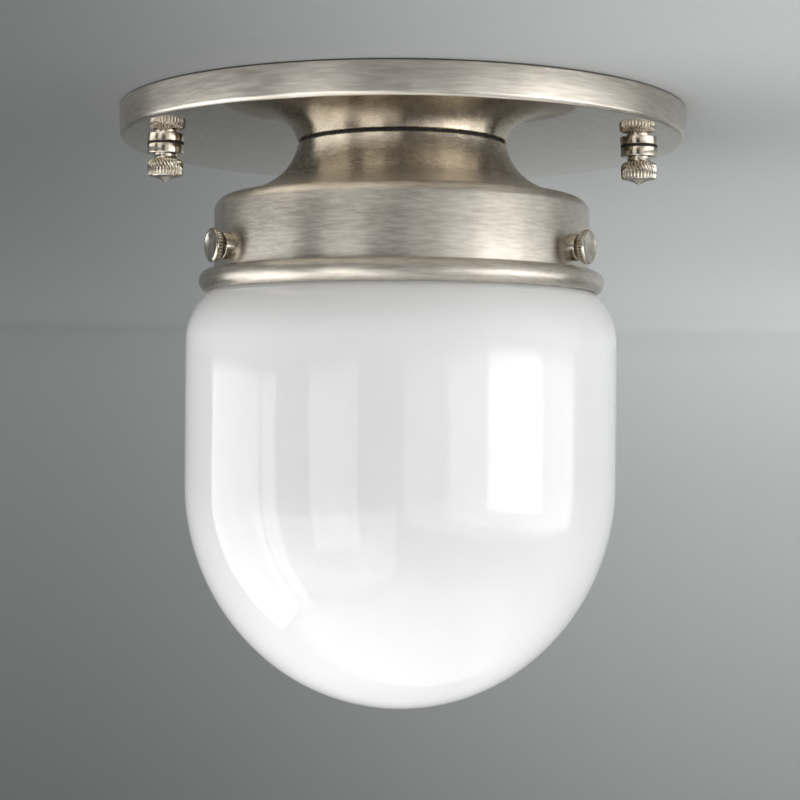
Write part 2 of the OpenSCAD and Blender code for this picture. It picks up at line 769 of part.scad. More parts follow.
ceiling_bar();
mounting_studs();
stud_locknuts();
ground_screw();
canopy();
holder_gasket();
nut_washers();
cap_nut_left();
cap_nut_right();
shade_holder();
screw_bosses();
nipple();
upper_lock_washer();
upper_locknut();
lower_lock_washer();
lower_locknut();
lampholder_cap();
cap_set_screw();
cap_screws();
porcelain_body();
screw_shell();
centre_contact();
terminal_screws();
black_lead();
white_lead();
lead_ends();
screw_shank_rear();
screw_shank_left();
screw_shank_right();
screw_head_rear();
screw_head_left();
screw_head_right();
shade();
bulb_contact();
bulb_insulator();
bulb_cap();
bulb_glass();
bulb_stem();
filament();
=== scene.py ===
# A flush ceiling light, dressed over its measured frame: a brushed nickel canopy and shade holder,
# knurled nuts and thumbscrews, and a domed opal glass shade round a lampholder and its bulb.
from math import acos, atan2, ceil, cos, degrees, pi, radians, sin, sqrt, tan, tau

import bmesh
import bpy
from mathutils import Matrix, Vector


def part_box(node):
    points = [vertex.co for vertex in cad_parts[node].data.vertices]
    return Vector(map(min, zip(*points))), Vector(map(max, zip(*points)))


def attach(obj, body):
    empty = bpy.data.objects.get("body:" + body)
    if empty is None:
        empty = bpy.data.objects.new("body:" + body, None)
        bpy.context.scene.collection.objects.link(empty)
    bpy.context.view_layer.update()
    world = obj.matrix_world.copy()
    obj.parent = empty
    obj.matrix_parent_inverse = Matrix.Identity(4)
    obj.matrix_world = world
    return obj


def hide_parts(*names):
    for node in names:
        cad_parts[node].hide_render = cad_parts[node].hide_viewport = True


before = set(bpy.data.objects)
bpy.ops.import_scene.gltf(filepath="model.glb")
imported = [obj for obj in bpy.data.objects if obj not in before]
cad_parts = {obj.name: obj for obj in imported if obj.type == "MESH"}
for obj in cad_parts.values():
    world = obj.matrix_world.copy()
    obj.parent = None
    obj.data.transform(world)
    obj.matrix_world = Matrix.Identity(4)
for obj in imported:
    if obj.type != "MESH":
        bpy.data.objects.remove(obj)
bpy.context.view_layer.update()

# Camera
# It stands level in front of the light, 495 mm from its axis and a little below the shade's shoulder,
# and leans by less than half a degree, as the photograph does.
MM = 0.001
CAMERA_AT = Vector((-0.17, -494.6, -84.1)) * MM
CAMERA_LEAN = radians(-0.4)

camera = bpy.data.objects.new("camera", bpy.data.cameras.new("camera"))
camera.data.lens = 75.25
camera.matrix_world = (Matrix.Translation(CAMERA_AT) @ Matrix.Rotation(CAMERA_LEAN, 4, "Y")
                       @ Matrix.Rotation(radians(90), 4, "X"))
bpy.context.scene.collection.objects.link(camera)
bpy.context.scene.camera = camera
bpy.context.scene.view_settings.view_transform = "Standard"

# Studio
# A round room whose ceiling runs in one sweep into the wall and the pale floor. Its ceiling has the round
# opening of the outlet box over the canopy, and it can be looked through from outside.
ROOM_R = 2200
ROOM_SWEEP = 700
ROOM_H = 2100
CEILING_Z = 0.3
CEILING_HOLE_R = 80.5
# Room paint colours, near and far: the dark left is painted shade and the bright right is painted light.
# PAINT_SHADOW is painted shade laid over them, PAINT_FRONT_SHADE is painted shade on the front wall, and the
# floor is an even pale grey.
PAINT_SHADED_LEFT = ((0.16, 0.168, 0.168), (0.25, 0.262, 0.262))
PAINT_LIT_RIGHT = ((0.675, 0.695, 0.695), (0.56, 0.578, 0.578))
PAINT_SHADOW = (0.04, 0.04, 0.04)
PAINT_FRONT_SHADE = (0.1, 0.1, 0.1)
PAINT_FLOOR = (0.7, 0.7, 0.69)


def arc(x, z, r, start, end, count):
    """Points of a round stretch of an outline, from one angle to another in degrees."""
    turns = [radians(start + (end - start) * i / count) for i in range(count + 1)]
    return [(x + r * cos(t), z + r * sin(t)) for t in turns]


def lathe(outline, steps=192):
    """A mesh turned round Z from an outline of (radius, height) points in millimetres."""
    bm = bmesh.new()
    ring = [bm.verts.new((r * MM, 0, z * MM)) for r, z in outline]
    edges = [bm.edges.new(pair) for pair in zip(ring, ring[1:])]
    if outline[0][0] > 0 and outline[-1][0] > 0:
        edges.append(bm.edges.new((ring[-1], ring[0])))
    bmesh.ops.spin(bm, geom=ring + edges, cent=(0, 0, 0), axis=(0, 0, 1), angle=tau, steps=steps,
                   use_merge=True)
    bmesh.ops.remove_doubles(bm, verts=bm.verts, dist=1e-7)
    return bm


def as_object(name, bm):
    """Smooth-shaded object of a mesh, with its corners kept sharp."""
    mesh = bpy.data.meshes.new(name)
    bm.to_mesh(mesh)
    bm.free()
    mesh.shade_smooth()
    mesh.set_sharp_from_angle(angle=radians(35))
    made = bpy.data.objects.new(name, mesh)
    bpy.context.scene.collection.objects.link(made)
    return made


def node(tree, kind, inputs=None, **settings):
    """A shader node with its settings, and its inputs set or linked by name or place."""
    made = tree.nodes.new("ShaderNode" + kind)
    for setting, value in settings.items():
        setattr(made, setting, value)
    for socket, value in (inputs or {}).items():
        if isinstance(value, bpy.types.NodeSocket):
            tree.links.new(value, made.inputs[socket])
        else:
            made.inputs[socket].default_value = value
    return made


def calc(tree, operation, *values):
    """Result of one step of arithmetic on numbers or sockets."""
    return node(tree, "Math", dict(enumerate(values)), operation=operation).outputs[0]


def spread(tree, value, low, high, new_low, new_high, smooth=False):
    """A value brought from one range to another and held inside it."""
    kind = "SMOOTHSTEP" if smooth else "LINEAR"
    ends = {"Value": value, "From Min": low, "From Max": high, "To Min": new_low, "To Max": new_high}
    return node(tree, "MapRange", ends, interpolation_type=kind).outputs["Result"]


def blend_colours(tree, factor, first, second):
    """A mix of two colours, each a socket or three numbers."""
    made = node(tree, "Mix", {"Factor": factor}, data_type="RGBA")
    for socket, value in ((made.inputs[6], first), (made.inputs[7], second)):
        if isinstance(value, bpy.types.NodeSocket):
            tree.links.new(value, socket)
        else:
            socket.default_value = (*value, 1)
    return made.outputs[2]


def new_finish(name):
    """An empty material, its tree and the object's own coordinates."""
    material = bpy.data.materials.new(name)
    material.use_nodes = True
    tree = material.node_tree
    tree.nodes.clear()
    return material, tree, node(tree, "TexCoord").outputs["Object"]


def bumped(tree, strength, distance, height):
    """The normals of a surface that a height socket raises."""
    made = node(tree, "Bump", {"Strength": strength, "Distance": distance, "Height": height})
    return made.outputs["Normal"]


def length_of(tree, vector):
    """The length of a vector socket."""
    return node(tree, "VectorMath", {0: vector}, operation="LENGTH").outputs["Value"]


def studio_paint():
    """Matt grey paint on fine plaster, seen only from the room's inside, with painted light and shade in its
    colour: painted shade on the left, in front, low on the wall and on the ceiling near the light, and
    painted light on the right.
    """
    material, tree, place = new_finish("studio_paint")
    grit = node(tree, "TexNoise", {"Vector": place, "Scale": 260, "Detail": 4, "Roughness": 0.6})
    swell = node(tree, "TexNoise", {"Vector": place, "Scale": 45, "Detail": 2})
    height = calc(tree, "MULTIPLY_ADD", swell.outputs["Fac"], 1.5, grit.outputs["Fac"])
    near = spread(tree, length_of(tree, place), 0.15, 0.9, 1, 0, smooth=True)
    normal = bumped(tree, 0.35, 0.6 * MM, calc(tree, "MULTIPLY", height, near))
    split = node(tree, "SeparateXYZ", {"Vector": place}).outputs
    depth = calc(tree, "MAXIMUM", calc(tree, "ADD", split["Y"], 0.55), 0.4)
    across = calc(tree, "DIVIDE", split["X"], depth)
    flat = node(tree, "CombineXYZ", {"X": split["X"], "Y": split["Y"]}).outputs[0]
    out = length_of(tree, flat)
    # Painted shade on the left and painted light on the right, across the room from the light's axis.
    left = blend_colours(tree, spread(tree, out, 0.2, 1.2, 0, 1), *PAINT_SHADED_LEFT)
    right = blend_colours(tree, spread(tree, out, 1.5, 2, 0, 1), *PAINT_LIT_RIGHT)
    rear = blend_colours(tree, spread(tree, across, -0.26, 0.26, 0, 1, smooth=True), left, right)
    # Painted shade that deepens low on the wall and on the ceiling near the light, and eases at the ceiling's
    # turn.
    low_wall_shade = calc(tree, "POWER", spread(tree, split["Z"], -0.8, 0, 1, 0), 0.7)
    turn = calc(tree, "ABSOLUTE", calc(tree, "SUBTRACT", out, 1.45))
    ceiling_shade = calc(tree, "SUBTRACT", spread(tree, out, 0.1, 1.4, 0.36, 0.07),
                     spread(tree, turn, 0, 0.25, 0.07, 0))
    painted_shade_amount = calc(tree, "MULTIPLY_ADD", low_wall_shade, 0.54, ceiling_shade)
    rear = blend_colours(tree, painted_shade_amount, rear, PAINT_SHADOW)
    # Painted shade on the front wall.
    front = spread(tree, split["Y"], -0.36, -0.16, 0, 1, smooth=True)
    walls = blend_colours(tree, front, PAINT_FRONT_SHADE, rear)
    low = spread(tree, split["Z"], -2.1, -1.2, 0, 1, smooth=True)
    colour = blend_colours(tree, low, PAINT_FLOOR, walls)
    paint = node(tree, "BsdfPrincipled", {"Base Color": colour, "Roughness": 0.85, "Normal": normal})
    clear = node(tree, "BsdfTransparent")
    outside = node(tree, "NewGeometry").outputs["Backfacing"]
    both = node(tree, "MixShader", {0: outside, 1: paint.outputs[0], 2: clear.outputs[0]})
    node(tree, "OutputMaterial", {"Surface": both.outputs[0]})
    return material


turn_r = ROOM_R - ROOM_SWEEP
room_outline = ([(CEILING_HOLE_R, CEILING_Z)]
                + arc(turn_r, CEILING_Z - ROOM_SWEEP, ROOM_SWEEP, 90, 0, 16)
                + arc(turn_r, ROOM_SWEEP - ROOM_H, ROOM_SWEEP, 0, -90, 16)
                + [(0, -ROOM_H)])
room = lathe(room_outline, 128)
bmesh.ops.recalc_face_normals(room, faces=room.faces)
floor_face = min(room.faces, key=lambda face: face.calc_center_median().z)
if floor_face.normal.z < 0:
    bmesh.ops.reverse_faces(room, faces=room.faces)
studio = as_object("studio", room)
studio.data.materials.append(studio_paint())

sky = bpy.data.worlds.new("sky")
sky.use_nodes = True
sky.node_tree.nodes["Background"].inputs["Color"].default_value = (0.8, 0.82, 0.84, 1)
sky.node_tree.nodes["Background"].inputs["Strength"].default_value = 0.4
bpy.context.scene.world = sky


def soft_light(name, at, way, width, height, radiance):
    """A rectangle of light at a place in metres, shining one way."""
    lamp = bpy.data.lights.new(name, "AREA")
    lamp.shape = "RECTANGLE"
    lamp.size = width
    lamp.size_y = height
    lamp.energy = radiance * pi * width * height
    made = bpy.data.objects.new(name, lamp)
    made.matrix_world = Matrix.Translation(at) @ way.to_track_quat("-Z", "Y").to_matrix().to_4x4()
    made.visible_camera = False
    bpy.context.scene.collection.objects.link(made)


def window(name, azimuth, width, top, bottom, distance, radiance):
    """An upright light facing the axis: azimuth and width in degrees, azimuth 0 in front, 90 on the right."""
    way = Vector((sin(radians(azimuth)), -cos(radians(azimuth)), 0))
    at = way * distance + Vector((0, 0, (top + bottom) / 2))
    soft_light(name, at, -way, 2 * distance * tan(radians(width / 2)), top - bottom, radiance)


window("key", 50, 96, -0.02, -0.6, 1.2, 1.1)
window("key_inner", 62, 76, -0.02, -0.5, 1.25, 1.5)
window("key_core", 60, 32, -0.02, -0.34, 1.3, 3.1)
window("left_pane", -95, 38, -0.03, -1.9, 1.5, 2.2)
window("left_strip", -70, 9, -0.03, -1.9, 1.5, 2)
window("near_pane", -33.5, 25, -0.03, -0.9, 1.5, 1.6)
for step in range(4):
    window(f"front_{step}", -42, 80, -0.45 - 0.15 * step, -1.8, 1.5, 1.2)
soft_light("floor_glow", (0.1, -0.3, -1.7), Vector((-0.1, 0.2, 1.7)), 2.8, 2, 0.75)
soft_light("wall_wash", (1.12, 0.69, -0.62), Vector((-0.5, 1.3, 0.42)), 0.6, 0.5, 5.4)

# Ceiling bar
# A strip of zinc-plated steel with a round middle. It is punched with two screw slots, a wire hole and
# the holes of its studs and ground screw, and is screwed to the outlet box.
BURR = 0.25


def measured(name):
    """Lowest and highest corner of a frame node, in millimetres."""
    low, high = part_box(name)
    return low / MM, high / MM


def solid_of(name):
    """A copy of a frame node's mesh, with its loose triangles joined into whole faces."""
    bm = bmesh.new()
    bm.from_mesh(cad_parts[name].data)
    bmesh.ops.remove_doubles(bm, verts=bm.verts, dist=1e-7)
    bmesh.ops.dissolve_limit(bm, angle_limit=radians(1), verts=bm.verts, edges=bm.edges)
    return bm


def soften(bm, width, corner=35):
    """Rounds every edge of a mesh that is sharper than a corner angle."""
    sharp = [edge for edge in bm.edges if edge.is_manifold and edge.calc_face_angle() > radians(corner)]
    bmesh.ops.bevel(bm, geom=sharp, offset=width * MM, segments=3, profile=0.5, affect="EDGES", material=-1,
                    clamp_overlap=True)
    return bm


def piece(name, bm, body, slot, finish, *nodes):
    """Adds a finished mesh with its material to a body and hides the frame nodes that it stands for; its slot
    is not used.
    """
    bmesh.ops.recalc_face_normals(bm, faces=bm.faces)
    made = as_object(name, bm)
    made.data.materials.append(finish)
    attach(made, body)
    if nodes:
        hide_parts(*nodes)


def group_of(name, inputs, outputs):
    """An empty node group with number and vector inputs, and number outputs."""
    group = bpy.data.node_groups.new(name, "ShaderNodeTree")
    for socket, value in inputs.items():
        kind = "NodeSocketVector" if value is None else "NodeSocketFloat"
        made = group.interface.new_socket(socket, in_out="INPUT", socket_type=kind)
        if value is not None:
            made.default_value = value
    for socket in outputs:
        group.interface.new_socket(socket, in_out="OUTPUT", socket_type="NodeSocketFloat")
    return group, group.nodes.new("NodeGroupInput").outputs, group.nodes.new("NodeGroupOutput").inputs


def make_blotches():
    """The group of slow patches and fine pits that handling, plating and glazing leave."""
    group, given, result = group_of("soft_blotches", {"Vector": None, "Size": 0.01}, ["Patches", "Pits"])
    per_metre = calc(group, "DIVIDE", 1, given["Size"])
    finer = calc(group, "MULTIPLY", per_metre, 14)
    slow = node(group, "TexNoise", {"Vector": given["Vector"], "Scale": per_metre, "Detail": 3,
                                    "Distortion": 0.4})
    fast = node(group, "TexNoise", {"Vector": given["Vector"], "Scale": finer, "Detail": 4,
                                    "Roughness": 0.65})
    group.links.new(spread(group, slow.outputs["Fac"], 0.32, 0.68, 0, 1, smooth=True), result["Patches"])
    group.links.new(fast.outputs["Fac"], result["Pits"])
    return group


BLOTCHES = make_blotches()


def blotches(tree, place, size):
    """The patches and pits of a surface, for patches of a size in millimetres."""
    made = tree.nodes.new("ShaderNodeGroup")
    made.node_tree = BLOTCHES
    tree.links.new(place, made.inputs["Vector"])
    made.inputs["Size"].default_value = size * MM
    return made.outputs["Patches"], made.outputs["Pits"]


def finished(material, tree, inputs):
    """A material that ends in one Principled shader with these inputs."""
    shader = node(tree, "BsdfPrincipled", inputs)
    node(tree, "OutputMaterial", {"Surface": shader.outputs[0]})
    return material


def plain_metal(name, dark, light, smooth, dull, size, relief=0.004):
    """A plated or bare metal, patchy in colour and gloss, with a faint relief in millimetres."""
    material, tree, place = new_finish(name)
    patches, pits = blotches(tree, place, size)
    gloss = calc(tree, "ADD", spread(tree, patches, 0, 1, smooth, dull),
                 spread(tree, pits, 0.3, 0.7, -0.04, 0.04))
    return finished(material, tree, {
        "Base Color": blend_colours(tree, patches, dark, light), "Metallic": 1, "Roughness": gloss,
        "Normal": bumped(tree, 0.6, relief * MM, pits)})


ZINC = plain_metal("zinc_plate", (0.47, 0.49, 0.52), (0.66, 0.66, 0.64), 0.3, 0.46, 7)
piece("punched_bar", soften(solid_of("ceiling_bar"), BURR), "ceiling_bar", "zinc_steel", ZINC,
      "ceiling_bar")

# Mounting studs
# Two machine screws, 8-32, pressed into the bar, on which the canopy hangs. Their threads are rolled.
STUD_X = measured("cap_nut_right")[0].x / 2 + measured("cap_nut_right")[1].x / 2
THREAD_R = 2.083
THREAD_DEPTH = 0.45
THREAD_PITCH = 0.794
BOLT_POINT = 0.6
# One turn of a rolled thread: shares of the pitch, each with a share of the depth below the crest
THREAD_SHAPE = ((0, 1), (0.14, 1), (0.45, 0), (0.6, 0))


def all_of(bm):
    """All verts, edges and faces of a mesh."""
    return bm.verts[:] + bm.edges[:] + bm.faces[:]


def screwed(bm, outline, pitch, steps):
    """Winds an outline of (radius, height) points in millimetres round Z by one pitch a turn."""
    profile = [bm.verts.new((r * MM, 0, z * MM)) for r, z in outline]
    edges = [bm.edges.new(pair) for pair in zip(profile, profile[1:])]
    bmesh.ops.spin(bm, geom=profile + edges, cent=(0, 0, 0), axis=(0, 0, 1), dvec=(0, 0, pitch * MM / steps),
                   angle=tau, steps=steps, use_merge=False)
    bmesh.ops.remove_doubles(bm, verts=bm.verts, dist=1e-6)


def cut_level(bm, z, up):
    """Cuts a mesh at a height in millimetres, drops what is above (1) or below (-1), and gives the rim."""
    cut = bmesh.ops.bisect_plane(bm, geom=all_of(bm), dist=1e-8, plane_co=(0, 0, z * MM), plane_no=(0, 0, up),
                                 clear_outer=True)
    return [edge for edge in cut["geom_cut"] if isinstance(edge, bmesh.types.BMEdge)]


def threaded(r, depth, pitch, low, high, steps=40, point=0.0, bore=0.0):
    """A rolled thread on Z between two heights, with flat ends, a pointed lower end or a bore."""
    bm = bmesh.new()
    turns = ceil((high - low) / pitch) + 3
    screwed(bm, [(r - depth * down, low + (i - 2 + share) * pitch)
                 for i in range(turns) for share, down in THREAD_SHAPE], pitch, steps)
    rims = [cut_level(bm, z, up) for z, up in ((low, -1), (high, 1))]
    if bore:
        ends = [Matrix.Translation((0, 0, z * MM)) for z in (low, high)]
        hole = [bmesh.ops.create_circle(bm, cap_ends=False, segments=steps, radius=bore * MM,
                                        matrix=end)["verts"] for end in ends]
        rings = [list({edge for vert in verts for edge in vert.link_edges}) for verts in hole]
        for first, second in ((rims[0], rings[0]), (rings[0], rings[1]), (rings[1], rims[1])):
            bmesh.ops.bridge_loops(bm, edges=[edge for edge in first + second if edge.is_valid])
    else:
        for rim in rims:
            bmesh.ops.holes_fill(bm, edges=rim, sides=0)
    for vert in bm.verts:
        over = low + point - vert.co.z / MM
        if point and over > 0:
            vert.co.xy *= 1 - 0.45 * over / point
    return bm


def on_both_sides(bm, x=STUD_X):
    """Moves a mesh made on the axis to the right by x, by default to its stud, with a copy on the left."""
    copy = bmesh.ops.duplicate(bm, geom=all_of(bm))["geom"]
    moved = [vert for vert in copy if isinstance(vert, bmesh.types.BMVert)]
    bmesh.ops.translate(bm, verts=bm.verts, vec=(x * MM, 0, 0))
    bmesh.ops.translate(bm, verts=moved, vec=(-2 * x * MM, 0, 0))
    return bm


stud_end, stud_top = measured("mounting_studs")
stud = threaded(THREAD_R, THREAD_DEPTH, THREAD_PITCH, stud_end.z, stud_top.z, point=BOLT_POINT)
piece("threaded_studs", on_both_sides(stud), "ceiling_bar", "zinc_steel", ZINC, "mounting_studs")

# Stud locknuts
# A thin zinc-plated hexagon nut locks each stud against the bar. Its corners are turned off.
LOCKNUT_FLATS = 8.7
COUNTERSINK = 0.3


def hex_nut(flats, bore, low, high, steps=96):
    """A hexagon nut on Z, its corners turned off above and below and its bore countersunk."""
    face_r = 0.95 * flats / 2
    edge = flats / sqrt(3) - face_r
    slope = [(face_r + edge * i / 4, edge * tan(radians(30)) * i / 4) for i in range(5)]
    outline = ([(bore, low + COUNTERSINK), (bore + COUNTERSINK, low)] + [(r, low + z) for r, z in slope]
               + [(r, high - z) for r, z in reversed(slope)]
               + [(bore + COUNTERSINK, high), (bore, high - COUNTERSINK)])
    bm = lathe(outline, steps)
    for vert in bm.verts:
        turn = atan2(vert.co.y, vert.co.x) % (tau / 6) - tau / 12
        most = flats / 2 * MM / cos(turn)
        if vert.co.xy.length > most:
            vert.co.xy *= most / vert.co.xy.length
    return bm


nut_low, nut_high = measured("stud_locknuts")
piece("hexagon_locknuts", on_both_sides(hex_nut(LOCKNUT_FLATS, THREAD_R, nut_low.z, nut_high.z)),
      "ceiling_bar", "zinc_steel", ZINC, "stud_locknuts")

# Ground screw
# A slotted steel screw, lacquered green, holds the ground wire to the bar.
GREEN = plain_metal("green_lacquer", (0.02, 0.15, 0.05), (0.04, 0.26, 0.09), 0.3, 0.42, 3)
piece("slotted_ground_screw", soften(solid_of("ground_screw"), BURR), "ceiling_bar", "green_screw", GREEN,
      "ground_screw")

# Canopy
# A spun brass dish, nickel plated. Its rim was brushed on the lathe and its underside polished, so that
# it mirrors the holder and the nuts. It hangs on the two studs and hides the outlet box.
WALL = 1.5
CANOPY_EDGE = 1.2
CANOPY_RIM = 0.3
CANOPY_FILLET = 1
DRILL_LENGTH = 40
STUD_HOLE_R = 2.333
NIPPLE_HOLE_R = 5.395
NICKEL_DARK = (0.49, 0.445, 0.385)
NICKEL_LIGHT = (0.69, 0.645, 0.57)


def make_grain():
    """The group of fine rings that a polishing wheel leaves round Z, with slower light and dark rings."""
    group, given, result = group_of("turned_grain", {"Vector": None, "Lines": 2500.0}, ["Grain", "Tone"])
    split = node(group, "SeparateXYZ", {"Vector": given["Vector"]}).outputs
    flat = node(group, "CombineXYZ", {"X": split["X"], "Y": split["Y"]}).outputs[0]
    r = length_of(group, flat)
    turn = [calc(group, "DIVIDE", split[side], calc(group, "ADD", r, 1e-6)) for side in ("X", "Y")]
    for name, coarse, detail, wander in (("Grain", 1.0, 3.0, 12), ("Tone", 0.12, 2.0, 1.2)):
        lines = calc(group, "MULTIPLY", given["Lines"], coarse)
        height = calc(group, "MULTIPLY", split["Z"], lines)
        round_x, round_y = (calc(group, "MULTIPLY", part, wander) for part in turn)
        rings = node(group, "CombineXYZ", {"X": round_x, "Y": round_y, "Z": height}).outputs[0]
        noise = node(group, "TexNoise", {
            "Vector": rings, "W": calc(group, "MULTIPLY", r, lines), "Scale": 1, "Detail": detail,
            "Roughness": 0.6}, noise_dimensions="4D")
        group.links.new(spread(group, noise.outputs["Fac"], 0.36, 0.64, 0, 1), result[name])
    return group


GRAIN = make_grain()


def grain(tree, place, lines):
    """The fine rings and the slow tone of a surface brushed on the lathe."""
    made = tree.nodes.new("ShaderNodeGroup")
    made.node_tree = GRAIN
    tree.links.new(place, made.inputs["Vector"])
    made.inputs["Lines"].default_value = lines
    return made.outputs["Grain"], made.outputs["Tone"]


def brushed_nickel(name, gloss, satin_end, shine_end, shine):
    """Satin nickel with rings round Z, which turns glossier from one height to another in millimetres."""
    material, tree, place = new_finish(name)
    rings, tone = grain(tree, place, 1500)
    streaks = calc(tree, "MULTIPLY_ADD", rings, 0.7, calc(tree, "MULTIPLY", tone, 0.3))
    patches, pits = blotches(tree, place, 30)
    roughness = calc(tree, "ADD", spread(tree, rings, 0, 1, gloss - 0.02, gloss + 0.02),
                     spread(tree, patches, 0, 1, -0.015, 0.02))
    height = node(tree, "SeparateXYZ", {"Vector": place}).outputs["Z"]
    polished = spread(tree, height, satin_end * MM, shine_end * MM, 0, 1)
    gleam = calc(tree, "ADD", spread(tree, rings, 0, 1, shine - 0.02, shine + 0.04),
                 spread(tree, patches, 0, 1, -0.01, 0.02))
    roughness = node(tree, "Mix", {0: polished, 2: roughness, 3: gleam}).outputs[0]
    relief = spread(tree, polished, 0, 1, 0.15, 0.03)
    return finished(material, tree, {
        "Base Color": blend_colours(tree, streaks, NICKEL_DARK, NICKEL_LIGHT), "Metallic": 1,
        "Roughness": roughness, "Anisotropic": 0.8, "Anisotropic Rotation": 0.25,
        "Normal": bumped(tree, relief, 0.005 * MM, rings),
        "Tangent": node(tree, "Tangent", direction_type="RADIAL", axis="Z").outputs[0]})


def drilled(bm, holes):
    """A mesh with upright round holes, each given as x and radius in millimetres."""
    plate = as_object("plate", bm)
    drills = bmesh.new()
    for x, r in holes:
        bmesh.ops.create_cone(drills, cap_ends=True, segments=64, radius1=r * MM, radius2=r * MM,
                              depth=DRILL_LENGTH * MM, matrix=Matrix.Translation((x * MM, 0, 0)))
    cutter = as_object("drill", drills)
    cut = plate.modifiers.new("holes", "BOOLEAN")
    cut.object = cutter
    cut.solver = "EXACT"
    whole = plate.evaluated_get(bpy.context.evaluated_depsgraph_get())
    result = bmesh.new()
    result.from_mesh(whole.data)
    for used in (plate, cutter):
        bpy.data.objects.remove(used)
    return result


canopy_low, canopy_high = measured("canopy")
canopy_r = canopy_high.x
canopy_z = canopy_low.z
canopy_in_r = canopy_r - WALL
canopy_outline = ([(0, canopy_z)]
                  + arc(canopy_r - CANOPY_EDGE, canopy_z + CANOPY_EDGE, CANOPY_EDGE, -90, 0, 8)
                  + arc(canopy_r - CANOPY_RIM, -CANOPY_RIM, CANOPY_RIM, 0, 90, 4)
                  + arc(canopy_in_r + CANOPY_RIM, -CANOPY_RIM, CANOPY_RIM, 90, 180, 4)
                  + arc(canopy_in_r - CANOPY_FILLET, canopy_z + WALL + CANOPY_FILLET, CANOPY_FILLET,
                        0, -90, 6)
                  + [(0, canopy_z + WALL)])
canopy_holes = [(-STUD_X, STUD_HOLE_R), (STUD_X, STUD_HOLE_R), (0, NIPPLE_HOLE_R)]
CANOPY_NICKEL = brushed_nickel("canopy_nickel", 0.32, canopy_z + 0.12, canopy_z + 0.02, 0.05)
piece("spun_canopy", drilled(lathe(canopy_outline, 256), canopy_holes), "canopy_assembly", "satin_nickel",
      CANOPY_NICKEL, "canopy")

# Gasket and nut washers
# A disc of black fibre keeps the holder from turning on the canopy, and a thin one lies above each cap
# nut. Both are stamped.
NUT_R = 5.4


def stamped(inner, outer, low, high, burr=0.08):
    """A flat ring on Z with slightly rounded edges."""
    edge = outer - burr
    return lathe(arc(edge, low + burr, burr, -90, 0, 3) + arc(edge, high - burr, burr, 0, 90, 3)
                 + [(inner, high), (inner, low)], 128)


def rough_black(name, colour, dull, size):
    """Black fibre or glass, from matt to glossy."""
    material, tree, place = new_finish(name)
    patches, pits = blotches(tree, place, size)
    lighter = tuple(1.8 * part for part in colour)
    return finished(material, tree, {
        "Base Color": blend_colours(tree, patches, colour, lighter),
        "Roughness": spread(tree, pits, 0.3, 0.7, dull - 0.08, dull + 0.08),
        "Normal": bumped(tree, 0.5, 0.03 * MM, pits)})


FIBRE = rough_black("black_fibre", (0.012, 0.012, 0.012), 0.75, 4)
gasket_low, gasket_high = measured("holder_gasket")
piece("fibre_gasket", stamped(NIPPLE_HOLE_R, gasket_high.x, gasket_low.z, gasket_high.z),
      "canopy_assembly", "black_fibre", FIBRE, "holder_gasket")
washer_low, washer_high = measured("nut_washers")
piece("fibre_nut_washers", on_both_sides(stamped(STUD_HOLE_R, NUT_R, washer_low.z, washer_high.z)),
      "canopy_assembly", "black_fibre", FIBRE, "nut_washers")

# Cap nuts
# Turned brass finials, nickel plated and polished. A plain collar and a neck lead to a knurled barrel
# with a pointed tip, and a blind thread takes the stud.
COLLAR_H = 2.8
NECK_R = 3.4
NECK_H = 1.4
BARREL_R = 5.3
BARREL_H = 5.0
TIP_H = 1.9
TIP_R = 4.6
NUT_CORNER = 0.25
NUT_BORE_END = 7.8
TAPPED_R = 2.15
RIDGES = 30
RIDGE_DEPTH = 0.5
RIDGE_LEAN = radians(15)


def bend(start, control, end, count):
    """Points of a stretch that leaves start towards control and comes to end."""
    start, control, end = Vector(start), Vector(control), Vector(end)
    shares = [i / count for i in range(count + 1)]
    return [tuple((1 - t) ** 2 * start + 2 * t * (1 - t) * control + t ** 2 * end) for t in shares]


def polished_nickel(name, gloss):
    """Bright nickel with faint pits and a little tarnish."""
    material, tree, place = new_finish(name)
    patches, pits = blotches(tree, place, 2.5)
    roughness = calc(tree, "ADD", spread(tree, patches, 0, 1, gloss - 0.03, gloss + 0.04),
                     spread(tree, pits, 0.3, 0.7, -0.02, 0.03))
    return finished(material, tree, {
        "Base Color": blend_colours(tree, patches, (0.46, 0.42, 0.355), (0.62, 0.57, 0.49)), "Metallic": 1,
        "Roughness": roughness, "Normal": bumped(tree, 0.35, 0.004 * MM, pits)})


